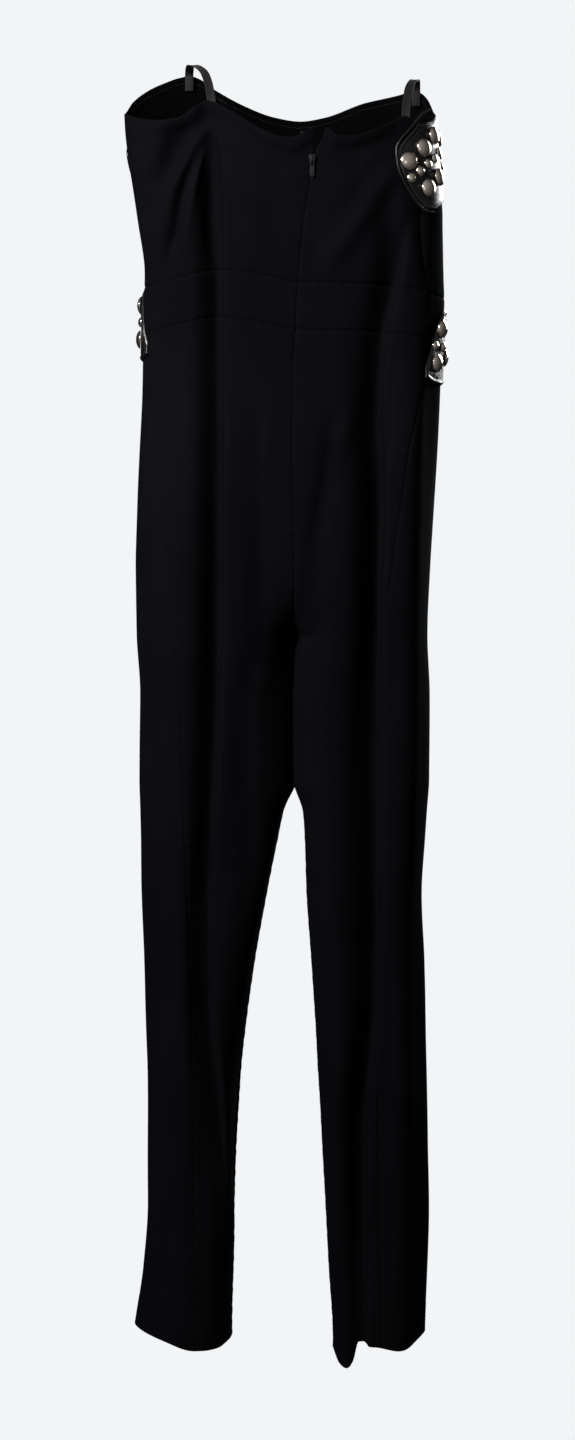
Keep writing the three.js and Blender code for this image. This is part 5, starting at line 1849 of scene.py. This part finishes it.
@dataclass
class Ribbons:
    """The two ribbon loops by which the garment hangs."""

    finish: bpy.types.Material
    width: float = 9.0
    thick: float = 0.55
    solid_thick: float = 1.0
    tail: float = 16.0
    wall: float = 2.0
    clearance: float = 0.9
    loops: tuple[Loop, ...] = (
        Loop(Side.LEFT, -98.5, -124, 12, 8),
        Loop(Side.RIGHT, 105, 118, 3, -8),
    )

    def inside(self, side: Side, face: Face, x: float, above: float) -> Array:
        """A point of the ribbon's middle inside the cloth, or just above its edge.

        Args:
            side: half of the garment.
            face: back or front.
            x: its place across.
            above: its height over the garment's edge.

        Returns:
            The point.
        """
        inset = self.wall + self.clearance + self.solid_thick / 2
        start = FORM.lap_at_x(side, face, x, np.asarray(-60.0))
        z = float(FORM.edge(TOP_BACK, TOP_FRONT, lambda _: start, -45.0)) + above
        inward = 1 if face is Face.BACK else -1
        offsets = x + np.linspace(-0.6, 0.6, 5) * self.width
        laps = FORM.lap_at_x(side, face, offsets, np.full(5, z))
        slope = np.abs(FORM.normal(laps, np.full(5, z))[:, 1])
        depth = (FORM.point(laps, np.full(5, z))[:, 1] * inward + inset / slope).max()
        return np.array([x, depth * inward, z])

    def ribbon(self, loop: Loop) -> bpy.types.Object:
        """Builds one loop, sewn inside the back edge and inside the front edge."""
        def blend(a: float, b: float, share: float) -> float:
            """A number between two."""
            return a + (b - a) * share
        at = lambda face, x, above: self.inside(loop.side, face, x, above)  # noqa: E731
        back, front = at(Face.BACK, loop.back_x, 3), at(Face.FRONT, loop.front_x, 2)
        crest = np.array([blend(loop.back_x, loop.front_x, 0.85), loop.crest_y, loop.crest_z - self.solid_thick / 2])
        rising = np.array([blend(loop.back_x, loop.front_x, 0.3), blend(back[1], crest[1], 0.45), blend(back[2], crest[2], 0.72)])
        stations = np.array([
            at(Face.BACK, loop.back_x, -self.tail), at(Face.BACK, loop.back_x, -self.tail / 2), back, rising, crest,
            front, at(Face.FRONT, loop.front_x, -self.tail / 2), at(Face.FRONT, loop.front_x, -self.tail),
        ])
        points, ahead = catmull_rom(stations, 150)
        out = np.stack([np.zeros(len(ahead)), -ahead[:, 2], ahead[:, 1]], -1)
        out /= np.linalg.norm(out, axis=1, keepdims=True)
        share = np.linspace(-0.5, 0.5, 13)
        selvedge = 0.12 * np.exp(-((np.abs(share) - 0.46) ** 2) / 0.001)
        curl = 0.35 * (share * 2) ** 2
        grid = points[:, None, :] + share[None, :, None] * self.width * np.array([1.0, 0, 0])
        outer = grid + out[:, None, :] * (self.thick / 2 + selvedge + curl)[None, :, None]
        inner = grid - out[:, None, :] * (self.thick / 2 + selvedge - curl)[None, :, None]
        length = np.concatenate([[0], np.cumsum(np.linalg.norm(np.diff(points, axis=0), axis=1))])
        uv = np.stack(np.meshgrid(share * self.width, length), -1) * MM
        node = f"hanger_loop_{loop.side.word}"
        piece = new_object(f"satin_{node}", shell(node, outer, inner, uv))
        log.info("%s: ribbon %.0f mm long", node, length[-1])
        return enlist(piece, self.finish, [node])

    def build(self) -> None:
        """Builds both loops."""
        for loop in self.loops:
            self.ribbon(loop)


@dataclass
class Stitching:
    """Rows of fine stitches: under the top edge inside and round the hems inside."""

    finish: bpy.types.Material
    below_edge: float = 7.0
    above_hem: float = 33.0
    inner: float = -1.75

    def edge_line(self, laps: Array, back: Table, front: Table, shift: float, start: float) -> tuple[Array, Array]:
        """A line inside the cloth at a distance from one of its edges.

        Args:
            laps: places round the garment.
            back: the edge on the back.
            front: the edge on the front.
            shift: height from the edge.
            start: a height near it.

        Returns:
            Points and the directions into the garment.
        """
        z = FORM.edge(back, front, lambda _: laps, start) + shift
        return FORM.raised(laps, z, self.inner), -FORM.normal(laps, z)

    def build(self) -> None:
        """Builds the rows as one piece each."""
        stitch = thread_stitch("fine_stitch", 2.2, 0.22)
        tree = row_tree()
        top = self.edge_line(np.linspace(-1.97, 1.9, 900), TOP_BACK, TOP_FRONT, -self.below_edge, -45.0)
        hems = [self.edge_line(np.linspace(*span, 300), HEM_BACK, HEM_FRONT, self.above_hem, -1370.0)
                for span in ((-1.97, -0.03), (0.03, 1.97))]
        for name, lines in (("edge_stitches", [top]), ("hem_stitches", hems)):
            piece = line_object(name, lines)
            tree.apply(piece, {"Piece": stitch, "Pitch": 3.2 * MM, "Material": self.finish})
            enlist(piece, None)
        bpy.data.objects.remove(stitch)


def main() -> None:
    """Builds the studio and the garment in order."""
    logging.basicConfig(level=logging.INFO, format="%(name)s: %(message)s")
    studio = Studio()
    studio.camera()
    crepe = Crepe().build()
    leather = Leather().build()
    silver = Polished("champagne_silver", (0.84, 0.72, 0.62), 0.1).build()
    black_metal = Polished("black_zip_metal", (0.028, 0.028, 0.03), 0.32, 0.9).build()
    tape = Woven("zip_tape_weave", (0.004, 0.004, 0.005), (0.0015, 0.0015, 0.002), 0.8, 0.1, 900, 0.0002).build()
    satin = Woven("taupe_satin", (0.011, 0.0092, 0.009), (0.006, 0.0054, 0.0054), 0.5, 0.1, 1500, 0.00006).build()
    thread = Woven("black_thread", (0.012, 0.012, 0.014), (0.006, 0.006, 0.007), 0.55, 0.3, 2500, 0.00003).build()
    Cloth(crepe).build()
    Trim(leather, silver, thread).build()
    Zip(tape, black_metal, black_metal).build()
    Ribbons(satin).build()
    Stitching(thread).build()
    studio.stage()
    studio.lights()


if __name__ == "__main__":
    main()
